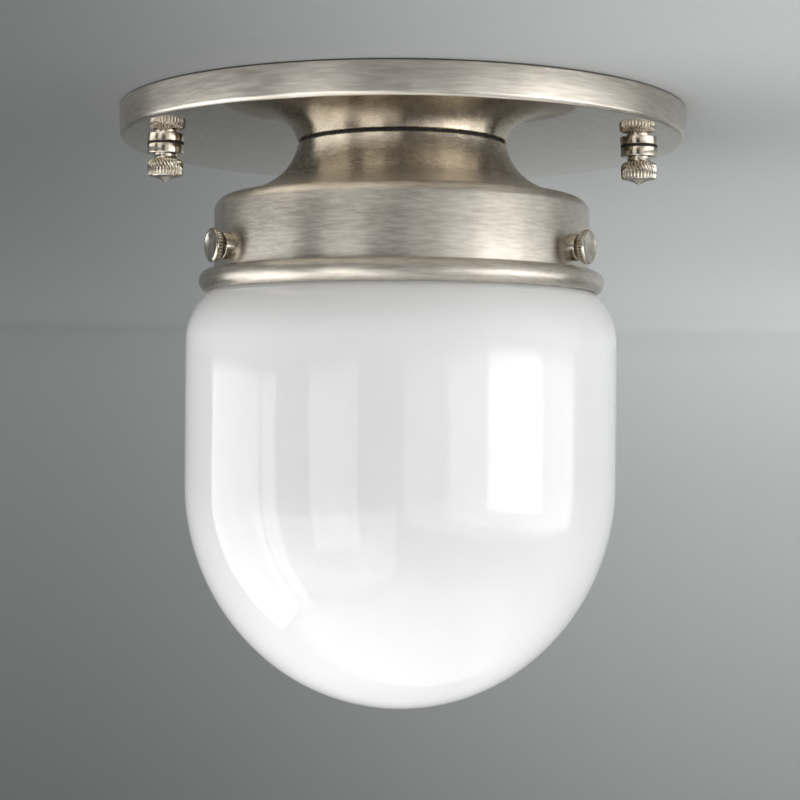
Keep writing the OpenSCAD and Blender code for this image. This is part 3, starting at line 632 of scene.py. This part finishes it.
def cap_nut():
    """A knurled cap nut below the origin, open at the top."""
    barrel_top = -COLLAR_H - NECK_H
    barrel_low = barrel_top - BARREL_H
    shoulder = barrel_top - 0.36 * BARREL_H
    outline = ([(0, -NUT_BORE_END), (TAPPED_R, -NUT_BORE_END), (TAPPED_R, -COUNTERSINK),
                (TAPPED_R + COUNTERSINK, 0)]
               + arc(NUT_R - NUT_CORNER, -NUT_CORNER, NUT_CORNER, 90, 0, 4)
               + arc(NUT_R - NUT_CORNER, NUT_CORNER - COLLAR_H, NUT_CORNER, 0, -90, 4)
               + arc(NECK_R + NUT_CORNER, -COLLAR_H - NUT_CORNER, NUT_CORNER, 90, 180, 3)
               + [(NECK_R, barrel_top + 0.1)]
               + bend((NECK_R + 0.05, barrel_top), (BARREL_R - 0.1, barrel_top - 0.15),
                      (BARREL_R, shoulder), 12)
               + bend((BARREL_R, shoulder - 0.4), (BARREL_R, barrel_low + 0.9),
                      (BARREL_R - NUT_CORNER, barrel_low), 9)
               + [(TIP_R + 0.1, barrel_low + 0.02), (TIP_R, barrel_low - 0.08)]
               + bend((TIP_R - 0.1, barrel_low - 0.25), (0.34 * TIP_R, barrel_low - 0.36 * TIP_H),
                      (0, barrel_low - TIP_H), 10))
    bm = lathe(outline, RIDGES * 8)
    bmesh.ops.recalc_face_normals(bm, faces=bm.faces)
    bm.normal_update()
    presses = []
    for vert in bm.verts:
        z = vert.co.z / MM
        r = vert.co.xy.length / MM
        on_barrel = barrel_low - 0.01 < z < barrel_top + 0.01
        if on_barrel and r > NECK_R + 0.1 and r > TIP_R + 0.2 * (z < barrel_low + 0.05):
            lift = min(1, max(0, (z - shoulder + 1.2) / 3))
            turn = atan2(vert.co.y, vert.co.x) + RIDGE_LEAN * lift * lift * (3 - 2 * lift)
            fade = min(1, (r - NECK_R - 0.1) / 0.5)
            groove = 1 - abs(sin(RIDGES / 2 * turn))
            presses.append((vert, vert.normal.copy() * (RIDGE_DEPTH * fade * groove * MM)))
    for vert, press in presses:
        vert.co -= press
    return bm


BRIGHT = polished_nickel("polished_nickel", 0.17)
for side, x in (("left", -STUD_X), ("right", STUD_X)):
    nut = cap_nut()
    bmesh.ops.translate(nut, verts=nut.verts, vec=(x * MM, 0, measured(f"cap_nut_{side}")[1].z * MM))
    piece(f"knurled_nut_{side}", nut, f"{side}_nut", "polished_nickel", BRIGHT, f"cap_nut_{side}")

# Shade holder
# Spun from brass sheet in one piece: a cove swells from the narrow waist to a straight band, whose edge is
# curled into a bead. It is nickel plated and brushed, and clamped to the canopy by the nipple.
HOLDER_WALL = 1.3
WAIST_R = 31
WAIST_EDGE = 0.5
COVE_H = 16.1
BAND_R = 55.15
BAND_H = 21.1
SHOULDER = 3.3
BEAD_R = 3.3
BEAD_MID_R = 56.3
ROUND_R = 20.0
SEAT_R = ROUND_R + 0.6
SEAT_CUT = 1.83

holder_low, holder_high = measured("shade_holder")
holder_top = holder_high.z
shoulder_z = holder_top - COVE_H
shade_low, shade_high = measured("shade")
seat_mid_r = shade_high.x - ROUND_R
bead_z = shoulder_z - SHOULDER - BAND_H
seat_mid_z = bead_z - sqrt((SEAT_R + BEAD_R - SEAT_CUT) ** 2 - (BEAD_MID_R - seat_mid_r) ** 2)
cove = (bend((WAIST_R, holder_top - WAIST_EDGE), (WAIST_R + 3, shoulder_z + 3.1),
             (BAND_R - SHOULDER, shoulder_z), 28)
        + bend((BAND_R - SHOULDER, shoulder_z), (BAND_R - SHOULDER / 5, shoulder_z - SHOULDER / 5),
               (BAND_R, shoulder_z - SHOULDER), 10)[1:])
inside = [(r - HOLDER_WALL, z - 1.0) for r, z in reversed(cove)]
bead_start = degrees(acos((BAND_R - BEAD_MID_R) / BEAD_R))
seat_reach = sqrt((BEAD_MID_R - seat_mid_r) ** 2 + (bead_z - seat_mid_z) ** 2)
seat_way = degrees(atan2(bead_z - seat_mid_z, BEAD_MID_R - seat_mid_r))
seat_half = degrees(acos((seat_reach ** 2 + SEAT_R ** 2 - BEAD_R ** 2) / (2 * seat_reach * SEAT_R)))
seat_in = degrees(acos((BAND_R - HOLDER_WALL - seat_mid_r) / SEAT_R))
bead_half = degrees(acos((seat_reach ** 2 + BEAD_R ** 2 - SEAT_R ** 2) / (2 * seat_reach * BEAD_R)))
bead_end = seat_way - 180 + bead_half
holder_outline = ([(NIPPLE_HOLE_R, holder_top)]
                  + arc(WAIST_R - WAIST_EDGE, holder_top - WAIST_EDGE, WAIST_EDGE, 90, 0, 4)[:-1]
                  + cove + arc(BEAD_MID_R, bead_z, BEAD_R, bead_start, bead_end + 4, 30)
                  + arc(seat_mid_r, seat_mid_z, SEAT_R, seat_way - seat_half + 0.7, seat_in, 10)
                  + inside + [(NIPPLE_HOLE_R, holder_top - HOLDER_WALL)])
HOLDER_NICKEL = brushed_nickel("holder_nickel", 0.36, shoulder_z + 1, shoulder_z + 6, 0.25)
piece("spun_holder", lathe(holder_outline, 256), "canopy_assembly", "satin_nickel", HOLDER_NICKEL,
      "shade_holder")

# Thumbscrew bosses
# Three short turned bushes, tapped 8-32, are riveted into holes in the band and plated with it.
SCREW_CLOCK = 89
SCREW_Z = (measured("screw_head_left")[0].z + measured("screw_head_left")[1].z) / 2
BOSS_R = 3.75
BOSS_OUT = 2.5
BOSS_EDGE = 0.35
SPIGOT_R = 3.0
SPIGOT_IN = 0.6
BAND_IN_R = BAND_R - HOLDER_WALL


def outward(bm, k):
    """Turns a mesh made up Z into the outward direction of thumbscrew k, at its height."""
    way = (Matrix.Rotation(radians(SCREW_CLOCK + 120 * k), 4, "Z")
           @ Matrix.Translation((0, 0, SCREW_Z * MM)) @ Matrix.Rotation(radians(90), 4, "Y"))
    bmesh.ops.transform(bm, matrix=way, verts=bm.verts)
    return bm


boss_start = BAND_IN_R - SPIGOT_IN
boss_step = BAND_IN_R + SPIGOT_IN
boss_end = BAND_R + BOSS_OUT
boss_outline = ([(TAPPED_R, boss_start), (SPIGOT_R, boss_start), (SPIGOT_R, boss_step), (BOSS_R, boss_step)]
                + arc(BOSS_R - BOSS_EDGE, boss_end - BOSS_EDGE, BOSS_EDGE, 0, 90, 5)
                + [(TAPPED_R + COUNTERSINK, boss_end), (TAPPED_R, boss_end - COUNTERSINK)])
bosses = bmesh.new()
for k in range(3):
    turned = outward(lathe(boss_outline, 96), k)
    spare = bpy.data.meshes.new("boss")
    turned.to_mesh(spare)
    turned.free()
    bosses.from_mesh(spare)
    bpy.data.meshes.remove(spare)
piece("turned_bosses", bosses, "canopy_assembly", "polished_nickel", BRIGHT, "screw_bosses")

# Thumbscrews
# Three 8-32 brass screws with coin-like knurled heads hold the rim of the glass. Each is one turned
# piece: the head turns with the thread, and the frame's shank slides with it.
TIP_AT = 50.05
HEAD_GAP = 1.15
HEAD_AT = boss_end + HEAD_GAP
HEAD_R = 4.8
HEAD_T = 2.1
HEAD_BEVEL = 0.22
HEAD_CHAMFER = 0.55
HEAD_FACE = 0.125
HEAD_RIDGES = 30
HEAD_RIDGE_DEPTH = 0.5


def screw_head():
    """A knurled head whose inner face is at the origin and whose thread hole ends below its outer face."""
    rim_top = HEAD_T - HEAD_CHAMFER
    rim = [(HEAD_R, HEAD_BEVEL + (rim_top - HEAD_BEVEL) * i / 10) for i in range(11)]
    outline = ([(0, HEAD_T - HEAD_FACE), (TAPPED_R, HEAD_T - HEAD_FACE), (TAPPED_R, 0.2), (TAPPED_R + 0.2, 0)]
               + [(HEAD_R - HEAD_RIDGE_DEPTH - 0.3, 0)]
               + arc(HEAD_R - HEAD_RIDGE_DEPTH - 0.1, 0.2, 0.2, -90, -10, 3) + rim
               + bend((HEAD_R, rim_top + 0.05), (HEAD_R - 0.05, HEAD_T - 0.05), (HEAD_R - 0.6, HEAD_T), 7)
               + [(HEAD_R - 0.85, HEAD_T), (HEAD_R - 0.95, HEAD_T - 0.05), (0, HEAD_T - 0.05)])
    bm = lathe(outline, HEAD_RIDGES * 8)
    for vert in bm.verts:
        up = (vert.co.z / MM - HEAD_BEVEL) / (rim_top - HEAD_BEVEL)
        if vert.co.xy.length > (HEAD_R - 0.01) * MM and -0.01 < up < 1.01:
            groove = 1 - abs(sin(HEAD_RIDGES / 2 * atan2(vert.co.y, vert.co.x)))
            inner_round = 0.3 * max(0, 0.45 - up) ** 2 / 0.2
            outer_fade = min(1, max(0, (1 - up) / 0.3))
            vert.co.xy *= 1 - (HEAD_RIDGE_DEPTH * groove * outer_fade + inner_round) / HEAD_R
    return bm


for k, side in enumerate(("rear", "left", "right")):
    shank = threaded(THREAD_R, THREAD_DEPTH, THREAD_PITCH, TIP_AT, HEAD_AT + HEAD_T - 0.25,
                     point=BOLT_POINT)
    piece(f"threaded_shank_{side}", outward(shank, k), f"{side}_screw", "polished_nickel", BRIGHT,
          f"screw_shank_{side}")
    head = screw_head()
    bmesh.ops.translate(head, verts=head.verts, vec=(0, 0, HEAD_AT * MM))
    piece(f"knurled_head_{side}", outward(head, k), f"{side}_screw_head", "polished_nickel", BRIGHT,
          f"screw_head_{side}")

# Nipple, washers and nuts
# A threaded steel tube, 10 mm across, clamps canopy, gasket and holder between two toothed steel
# washers and two thin brass nuts, and carries the lampholder. The leads pass through it.
NIPPLE_R = 5.145
NIPPLE_BORE_R = 3.4
NIPPLE_PITCH = 0.94
NIPPLE_NUT_FLATS = 14.3

BRASS = plain_metal("plain_brass", (0.62, 0.45, 0.17), (0.8, 0.62, 0.3), 0.22, 0.38, 6)
nipple_low, nipple_high = measured("nipple")
tube = threaded(NIPPLE_R, 0.5, NIPPLE_PITCH, nipple_low.z, nipple_high.z, steps=64, bore=NIPPLE_BORE_R)
piece("threaded_nipple", tube, "canopy_assembly", "zinc_steel", ZINC, "nipple")
for place in ("upper", "lower"):
    piece(f"toothed_washer_{place}", soften(solid_of(f"{place}_lock_washer"), 0.1), "canopy_assembly",
          "zinc_steel", ZINC, f"{place}_lock_washer")
    low, high = measured(f"{place}_locknut")
    piece(f"hexagon_nut_{place}", hex_nut(NIPPLE_NUT_FLATS, NIPPLE_R, low.z, high.z), "canopy_assembly",
          "brass", BRASS, f"{place}_locknut")

# Lampholder cap and its screws
# A drawn brass cup with a tapped hub that screws on the nipple and is locked by a headless screw. Two
# round-headed screws fasten the porcelain in it.
HOLDER_R = 19.5
CAP_WALL = 1.1
CAP_CORNER = 2.6
HUB_R = 8.0
HUB_FILLET = 0.6

cup_low, cup_high = measured("lampholder_cap")
cup_top = nipple_low.z
cup_outline = ([(NIPPLE_R, cup_high.z)] + arc(HUB_R - 0.5, cup_high.z - 0.5, 0.5, 90, 0, 4)
               + arc(HUB_R + HUB_FILLET, cup_top + HUB_FILLET, HUB_FILLET, 180, 270, 4)
               + arc(HOLDER_R - CAP_CORNER, cup_top - CAP_CORNER, CAP_CORNER, 90, 0, 8)
               + arc(HOLDER_R - 0.35, cup_low.z + 0.35, 0.35, 0, -90, 3)
               + [(HOLDER_R - CAP_WALL, cup_low.z)]
               + arc(HOLDER_R - CAP_CORNER, cup_top - CAP_CORNER, CAP_CORNER - CAP_WALL, 0, 90, 6)
               + [(NIPPLE_R, cup_top - CAP_WALL)])
piece("drawn_cup", lathe(cup_outline, 160), "canopy_assembly", "brass", BRASS, "lampholder_cap")

set_low, set_high = measured("cap_set_screw")
set_screw = threaded(1.6, 0.3, 0.6, set_low.x, set_high.x, steps=24)
set_z = (set_low.z + set_high.z) / 2
turn_out = Matrix.Translation((0, 0, set_z * MM)) @ Matrix.Rotation(radians(90), 4, "Y")
bmesh.ops.transform(set_screw, matrix=turn_out, verts=set_screw.verts)
piece("headless_screw", set_screw, "canopy_assembly", "zinc_steel", ZINC, "cap_set_screw")
for name, label, slot_name, metal in (("cap_screws", "round_head_screws", "zinc_steel", ZINC),
                                      ("terminal_screws", "binding_screws", "brass", BRASS)):
    piece(label, soften(solid_of(name), 0.35), "canopy_assembly", slot_name, metal, name)

# Porcelain body
# Pressed and fired porcelain with a clear glaze. Its socket holds the threaded shell and the contact.
SHELL_R = 13.9
CLAY_EDGE = 0.6
CLAY_FOOT = 1.2
CLAY_MOUTH = 0.9
WELL_R = 6.0


def glazed_porcelain():
    """White glazed porcelain with a few faint specks."""
    material, tree, place = new_finish("glazed_porcelain")
    patches, pits = blotches(tree, place, 5)
    specks = spread(tree, pits, 0.74, 0.78, 0, 0.35)
    white = blend_colours(tree, patches, (0.8, 0.79, 0.75), (0.86, 0.85, 0.81))
    return finished(material, tree, {
        "Base Color": blend_colours(tree, specks, white, (0.35, 0.3, 0.25)),
        "Roughness": spread(tree, patches, 0, 1, 0.12, 0.2),
        "Normal": bumped(tree, 0.2, 0.03 * MM, patches)})


clay_low, clay_high = measured("porcelain_body")
contact_low, contact_high = measured("centre_contact")
socket_top = contact_high.z - 5
well_top = contact_low.z + 0.9
clay_outline = ([(0, clay_high.z)] + arc(HOLDER_R - CAP_WALL - 0.8, clay_high.z - 0.8, 0.8, 90, 0, 4)
                + [(HOLDER_R - CAP_WALL, cup_low.z + 0.05)]
                + arc(HOLDER_R - CLAY_EDGE, cup_low.z - CLAY_EDGE - 0.05, CLAY_EDGE, 90, 0, 4)
                + arc(HOLDER_R - CLAY_FOOT, clay_low.z + CLAY_FOOT, CLAY_FOOT, 0, -90, 6)
                + arc(SHELL_R + CLAY_MOUTH, clay_low.z + CLAY_MOUTH, CLAY_MOUTH, -90, -180, 6)
                + [(SHELL_R, socket_top), (WELL_R, socket_top), (WELL_R, well_top), (0, well_top)])
piece("fired_porcelain", lathe(clay_outline, 160), "canopy_assembly", "porcelain", glazed_porcelain(),
      "porcelain_body")

# Threaded shell and centre contact
# A brass shell with a rolled lamp thread, 26 mm, is crimped into the porcelain, and a sprung brass disc
# on a rivet meets the bulb's contact.
LAMP_PITCH = 3.63
LAMP_POINTS = 12
SPRING_T = 0.35


def rolled_shell(outer, depth, wall, low, high, steps=96):
    """A thin metal tube on Z, rolled to a round lamp thread, its wall inside the outer radius."""
    bm = bmesh.new()
    turns = ceil((high - low) / LAMP_PITCH) + 3
    outline = []
    for i in range(turns * LAMP_POINTS):
        wave = 0.5 + 0.5 * cos(tau * i / LAMP_POINTS)
        outline.append((outer - depth * wave, high + LAMP_PITCH * (1.5 - i / LAMP_POINTS)))
    screwed(bm, outline, LAMP_PITCH, steps)
    cut_level(bm, low, -1)
    cut_level(bm, high, 1)
    bmesh.ops.recalc_face_normals(bm, faces=bm.faces)
    middle = max(bm.faces, key=lambda face: face.calc_center_median().x)
    if middle.normal.x < 0:
        bmesh.ops.reverse_faces(bm, faces=bm.faces)
    bmesh.ops.solidify(bm, geom=bm.faces[:], thickness=wall * MM)
    return bm


shell_low, shell_high = measured("screw_shell")
piece("rolled_shell", rolled_shell(SHELL_R, 0.3, 0.38, shell_low.z, shell_high.z), "canopy_assembly",
      "brass", BRASS, "screw_shell")
spring_r = contact_high.x
spring_z = contact_low.z + SPRING_T
contact_outline = [(0, contact_low.z), (3.2, contact_low.z), (4.2, spring_z), (spring_r - 0.3, spring_z),
                   (spring_r, spring_z + 0.2), (spring_r, well_top), (3.8, well_top), (1.4, well_top - 0.1),
                   (1.4, contact_high.z), (0, contact_high.z)]
piece("sprung_contact", soften(lathe(contact_outline, 96), 0.08), "canopy_assembly", "brass", BRASS,
      "centre_contact")

# Leads
# Two short lengths of copper wire, one black and one white, run from the box through the nipple to the
# terminals. Their ends are stripped.
LEAD_R = 1.1
LEAD_X = LEAD_R + 0.15
LEAD_SAG = 0.33
TERMINAL_X = 10.5
STRANDS = 6
STRAND_R = 0.51
STRAND_TWIST = 300


def wire(name, points, r, body, slot, finish, *nodes):
    """A wire through points in millimetres, as a curve with a round section."""
    curve = bpy.data.curves.new(name, "CURVE")
    curve.dimensions = "3D"
    curve.bevel_depth = r * MM
    curve.bevel_resolution = 4
    curve.use_fill_caps = True
    spline = curve.splines.new("POLY")
    spline.points.add(len(points) - 1)
    spline.use_smooth = True
    for point, at in zip(spline.points, points):
        point.co = (*(Vector(at) * MM), 1)
    curve.materials.append(finish)
    made = bpy.data.objects.new(name, curve)
    bpy.context.scene.collection.objects.link(made)
    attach(made, body)
    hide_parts(*nodes)


def insulation(name, colour):
    """Slightly glossy plastic insulation."""
    material, tree, place = new_finish(name)
    patches, pits = blotches(tree, place, 2)
    dull = tuple(0.8 * part for part in colour)
    return finished(material, tree, {
        "Base Color": blend_colours(tree, patches, dull, colour),
        "Roughness": spread(tree, pits, 0.3, 0.7, 0.35, 0.5), "Normal": bumped(tree, 0.2, 0.01 * MM, pits)})


terminal_top = measured("terminal_screws")[1].z
lead_top = measured("black_lead")[1].z
half_way = TERMINAL_X / 2
cup_inside = cup_top - CAP_WALL
level = cup_inside - 2.2 * LEAD_R
lead_route = ([(LEAD_X, lead_top), (LEAD_X, lead_top - 6), (LEAD_X, cup_top + 4), (LEAD_X, cup_top)]
              + bend((LEAD_X, cup_inside), (LEAD_X, level + LEAD_SAG), (half_way, level), 6)
              + bend((half_way, level), (TERMINAL_X, level - LEAD_SAG),
                     (TERMINAL_X, terminal_top + LEAD_R), 7)[1:]
              + [(TERMINAL_X, terminal_top)])
for side, name, colour in ((1, "black", (0.02, 0.02, 0.02)), (-1, "white", (0.82, 0.81, 0.77))):
    route = [(side * x, 0, z) for x, z in lead_route]
    wire(f"{name}_wire", route, LEAD_R, "canopy_assembly", f"{name}_wire",
         insulation(f"{name}_insulation", colour), f"{name}_lead")
bare_low, bare_high = measured("lead_ends")
bare_side = [(STRAND_R, bare_low.z + (bare_high.z - bare_low.z) * i / 6) for i in range(7)]
strands = lathe([(0, bare_low.z)] + bare_side + [(0, bare_high.z)], STRANDS * 8)
for vert in strands.verts:
    groove = 1 - abs(sin(STRANDS / 2 * (atan2(vert.co.y, vert.co.x) + STRAND_TWIST * vert.co.z)))
    vert.co.xy *= 1 - 0.35 * groove
COPPER = plain_metal("bare_copper", (0.72, 0.34, 0.2), (0.9, 0.52, 0.36), 0.2, 0.36, 1)
piece("copper_strands", on_both_sides(strands, LEAD_X), "canopy_assembly", "copper", COPPER, "lead_ends")

# Shade
# Blown opal glass, 3 mm thick, in the shape of a dome. Its necked rim was ground flat and hangs on the
# three screws, and its outside is fire polished.
GLASS_T = 3.0
RIM_R = 49.8
NECK_OUT_R = 47.4
RIM_H = 5.2
RIM_CORNER = 1.2
DOME_WIDER = 4.0
DOME_LESS = 2.25

shade_r = shade_high.x
rim_low = shade_high.z - RIM_H
dome_r = shade_r - DOME_LESS
dome_drop = sqrt((DOME_WIDER + DOME_LESS) ** 2 - DOME_WIDER ** 2)
dome_turn = degrees(atan2(dome_drop, DOME_WIDER))
dome_z = shade_low.z + dome_r + dome_drop


def glass_side(wall, neck):
    """The glass from its neck down to its lowest point, a wall in from the outside."""
    start = degrees(acos((neck - seat_mid_r) / (ROUND_R - wall)))
    return (arc(seat_mid_r, seat_mid_z, ROUND_R - wall, start, 0, 28)
            + arc(-DOME_WIDER, dome_z, shade_r + DOME_WIDER - wall, 0, -dome_turn, 36)
            + arc(0, dome_z - dome_drop, dome_r - wall, -dome_turn, -90, 28)[1:])


def opal_glass():
    """Glossy white glass, full of light, with the slow waves of blown work."""
    material, tree, place = new_finish("opal_glass")
    waves = node(tree, "TexNoise", {"Vector": place, "Scale": 24, "Detail": 1})
    ripple = node(tree, "TexNoise", {"Vector": place, "Scale": 130, "Detail": 1})
    height = calc(tree, "MULTIPLY_ADD", ripple.outputs["Fac"], 0.08, waves.outputs["Fac"])
    patches, pits = blotches(tree, place, 60)
    return finished(material, tree, {
        "Base Color": blend_colours(tree, patches, (0.88, 0.885, 0.88), (0.91, 0.91, 0.9)),
        "Subsurface Weight": 1, "Subsurface Radius": (1, 1, 1), "Subsurface Scale": 6 * MM,
        "Roughness": spread(tree, pits, 0.3, 0.7, 0.05, 0.08), "IOR": 1.5,
        "Normal": bumped(tree, 0.5, 0.5 * MM, height)})


glass_outline = ([(NECK_OUT_R - GLASS_T, shade_high.z - 0.4), (NECK_OUT_R - GLASS_T + 0.4, shade_high.z)]
                 + arc(RIM_R - RIM_CORNER, shade_high.z - RIM_CORNER, RIM_CORNER, 90, 0, 6)
                 + arc(RIM_R - RIM_CORNER, rim_low + RIM_CORNER, RIM_CORNER, 0, -90, 6)
                 + arc(NECK_OUT_R + 0.6, rim_low - 0.6, 0.6, 90, 180, 4)
                 + glass_side(0, NECK_OUT_R)[1:] + glass_side(GLASS_T, NECK_OUT_R - GLASS_T)[::-1])
piece("blown_shade", lathe(glass_outline, 256), "shade", "opal_glass", opal_glass(), "shade")

# Bulb
# A round clear bulb on a 26 mm screw cap of rolled aluminium, with a soldered contact on a black glass
# insulator. A glass stem inside carries a coiled filament.
CONTACT_R = 4.4
CAP_R = 13.1
CAP_IN_R = 12.2
GLOBE_R = 30.0
BULB_T = 0.8
GLOBE_JOIN = 40
STEM_R = 2.2
BOW_R = 10.0
COILS = 64
COIL_POINTS = 8
COIL_R = 0.36

insulator_low, insulator_high = measured("bulb_insulator")
tip_low, tip_high = measured("bulb_contact")
cap_low, cap_high = measured("bulb_cap")
globe_z = measured("bulb_glass")[0].z + GLOBE_R
neck_top = insulator_low.z

SOLDER = plain_metal("solder", (0.5, 0.5, 0.52), (0.72, 0.72, 0.73), 0.3, 0.5, 2, relief=0.03)
contact_dome = ([(0, tip_low.z), (CONTACT_R - 0.2, tip_low.z), (CONTACT_R, tip_low.z + 0.3)]
                + bend((CONTACT_R - 0.1, tip_low.z + 0.35), (3.2, tip_high.z), (0, tip_high.z), 10))
piece("solder_contact", lathe(contact_dome, 96), "bulb_carrier", "solder", SOLDER, "bulb_contact")

insulator = lathe([(0, insulator_high.z), (CONTACT_R + 0.2, insulator_high.z)]
                  + bend((CONTACT_R + 0.6, insulator_high.z - 0.1), (CAP_IN_R - 3, insulator_high.z - 0.6),
                         (CAP_IN_R, cap_high.z), 8)
                  + [(CAP_IN_R, insulator_low.z), (0, insulator_low.z)], 128)
BLACK_GLASS = rough_black("black_glass", (0.008, 0.008, 0.01), 0.22, 6)
piece("glass_insulator", insulator, "bulb", "black_insulator", BLACK_GLASS, "bulb_insulator")
ALUMINIUM = plain_metal("rolled_aluminium", (0.62, 0.62, 0.62), (0.8, 0.8, 0.8), 0.24, 0.38, 5)
piece("rolled_cap", rolled_shell(CAP_R, 0.5, 0.32, cap_low.z, cap_high.z), "bulb", "bulb_metal", ALUMINIUM,
      "bulb_cap")


def bulb_side(wall):
    """The bulb's glass from the cap down to its lowest point, a wall in from the outside."""
    neck = CAP_IN_R - wall
    r = GLOBE_R - wall
    join = arc(0, globe_z, r, GLOBE_JOIN, -90, 44)
    turn = (neck, join[0][1] + (join[0][0] - neck) / tan(radians(GLOBE_JOIN)))
    return [(neck, neck_top)] + bend((neck, cap_low.z), turn, join[0], 20) + join[1:]


def clear_glass(name, tint):
    """Clear glass, slightly uneven."""
    material, tree, place = new_finish(name)
    patches = blotches(tree, place, 20)[0]
    deeper = tuple(0.985 * part for part in tint)
    return finished(material, tree, {
        "Base Color": blend_colours(tree, patches, deeper, tint), "Roughness": 0.02, "IOR": 1.45,
        "Transmission Weight": 1, "Normal": bumped(tree, 0.2, 0.05 * MM, patches)})


piece("clear_bulb", lathe(bulb_side(0) + bulb_side(BULB_T)[::-1], 160), "bulb", "bulb_glass",
      clear_glass("bulb_glass", (0.96, 0.97, 0.97)), "bulb_glass")
stem_low, stem_high = measured("bulb_stem")
flare_r = CAP_IN_R - BULB_T
stem_outline = ([(0, stem_high.z), (flare_r, stem_high.z)]
                + bend((flare_r, stem_high.z - 1), (STEM_R, stem_high.z - 2), (STEM_R, stem_high.z - 12), 14)
                + bend((STEM_R, stem_low.z + 3.4), (STEM_R - 0.5, stem_low.z + 2.6),
                       (STEM_R, stem_low.z + 1.8), 6)
                + arc(STEM_R - 0.6, stem_low.z + 0.6, 0.6, 0, -90, 4) + [(0, stem_low.z)])
piece("flared_stem", lathe(stem_outline, 96), "bulb", "clear_glass",
      clear_glass("stem_glass", (0.93, 0.95, 0.95)), "bulb_stem")

TUNGSTEN = plain_metal("drawn_tungsten", (0.2, 0.2, 0.21), (0.36, 0.36, 0.37), 0.3, 0.45, 1)
wire_low, wire_high = measured("filament")
arm_low = wire_low.z + BOW_R + 0.4
arm_top = wire_high.z - 0.4
coil = []
for i in range(COILS * COIL_POINTS + 1):
    along = pi * i / (COILS * COIL_POINTS)
    around = tau * i / COIL_POINTS
    r = BOW_R + COIL_R * cos(around)
    coil.append((r * cos(along), COIL_R * sin(around), arm_low - r * sin(along)))
wire("coiled_filament", coil, 0.09, "bulb", "filament_wire", TUNGSTEN, "filament")
for side, label in ((-1, "left"), (1, "right")):
    arm = ((0, arm_top), (BOW_R - 1.2, arm_top), (BOW_R - 0.3, arm_top - 0.3), (BOW_R, arm_top - 1.2),
           (BOW_R, arm_low))
    wire(f"support_wire_{label}", [(side * x, 0, z) for x, z in arm], 0.3, "bulb", "filament_wire",
         TUNGSTEN, "filament")
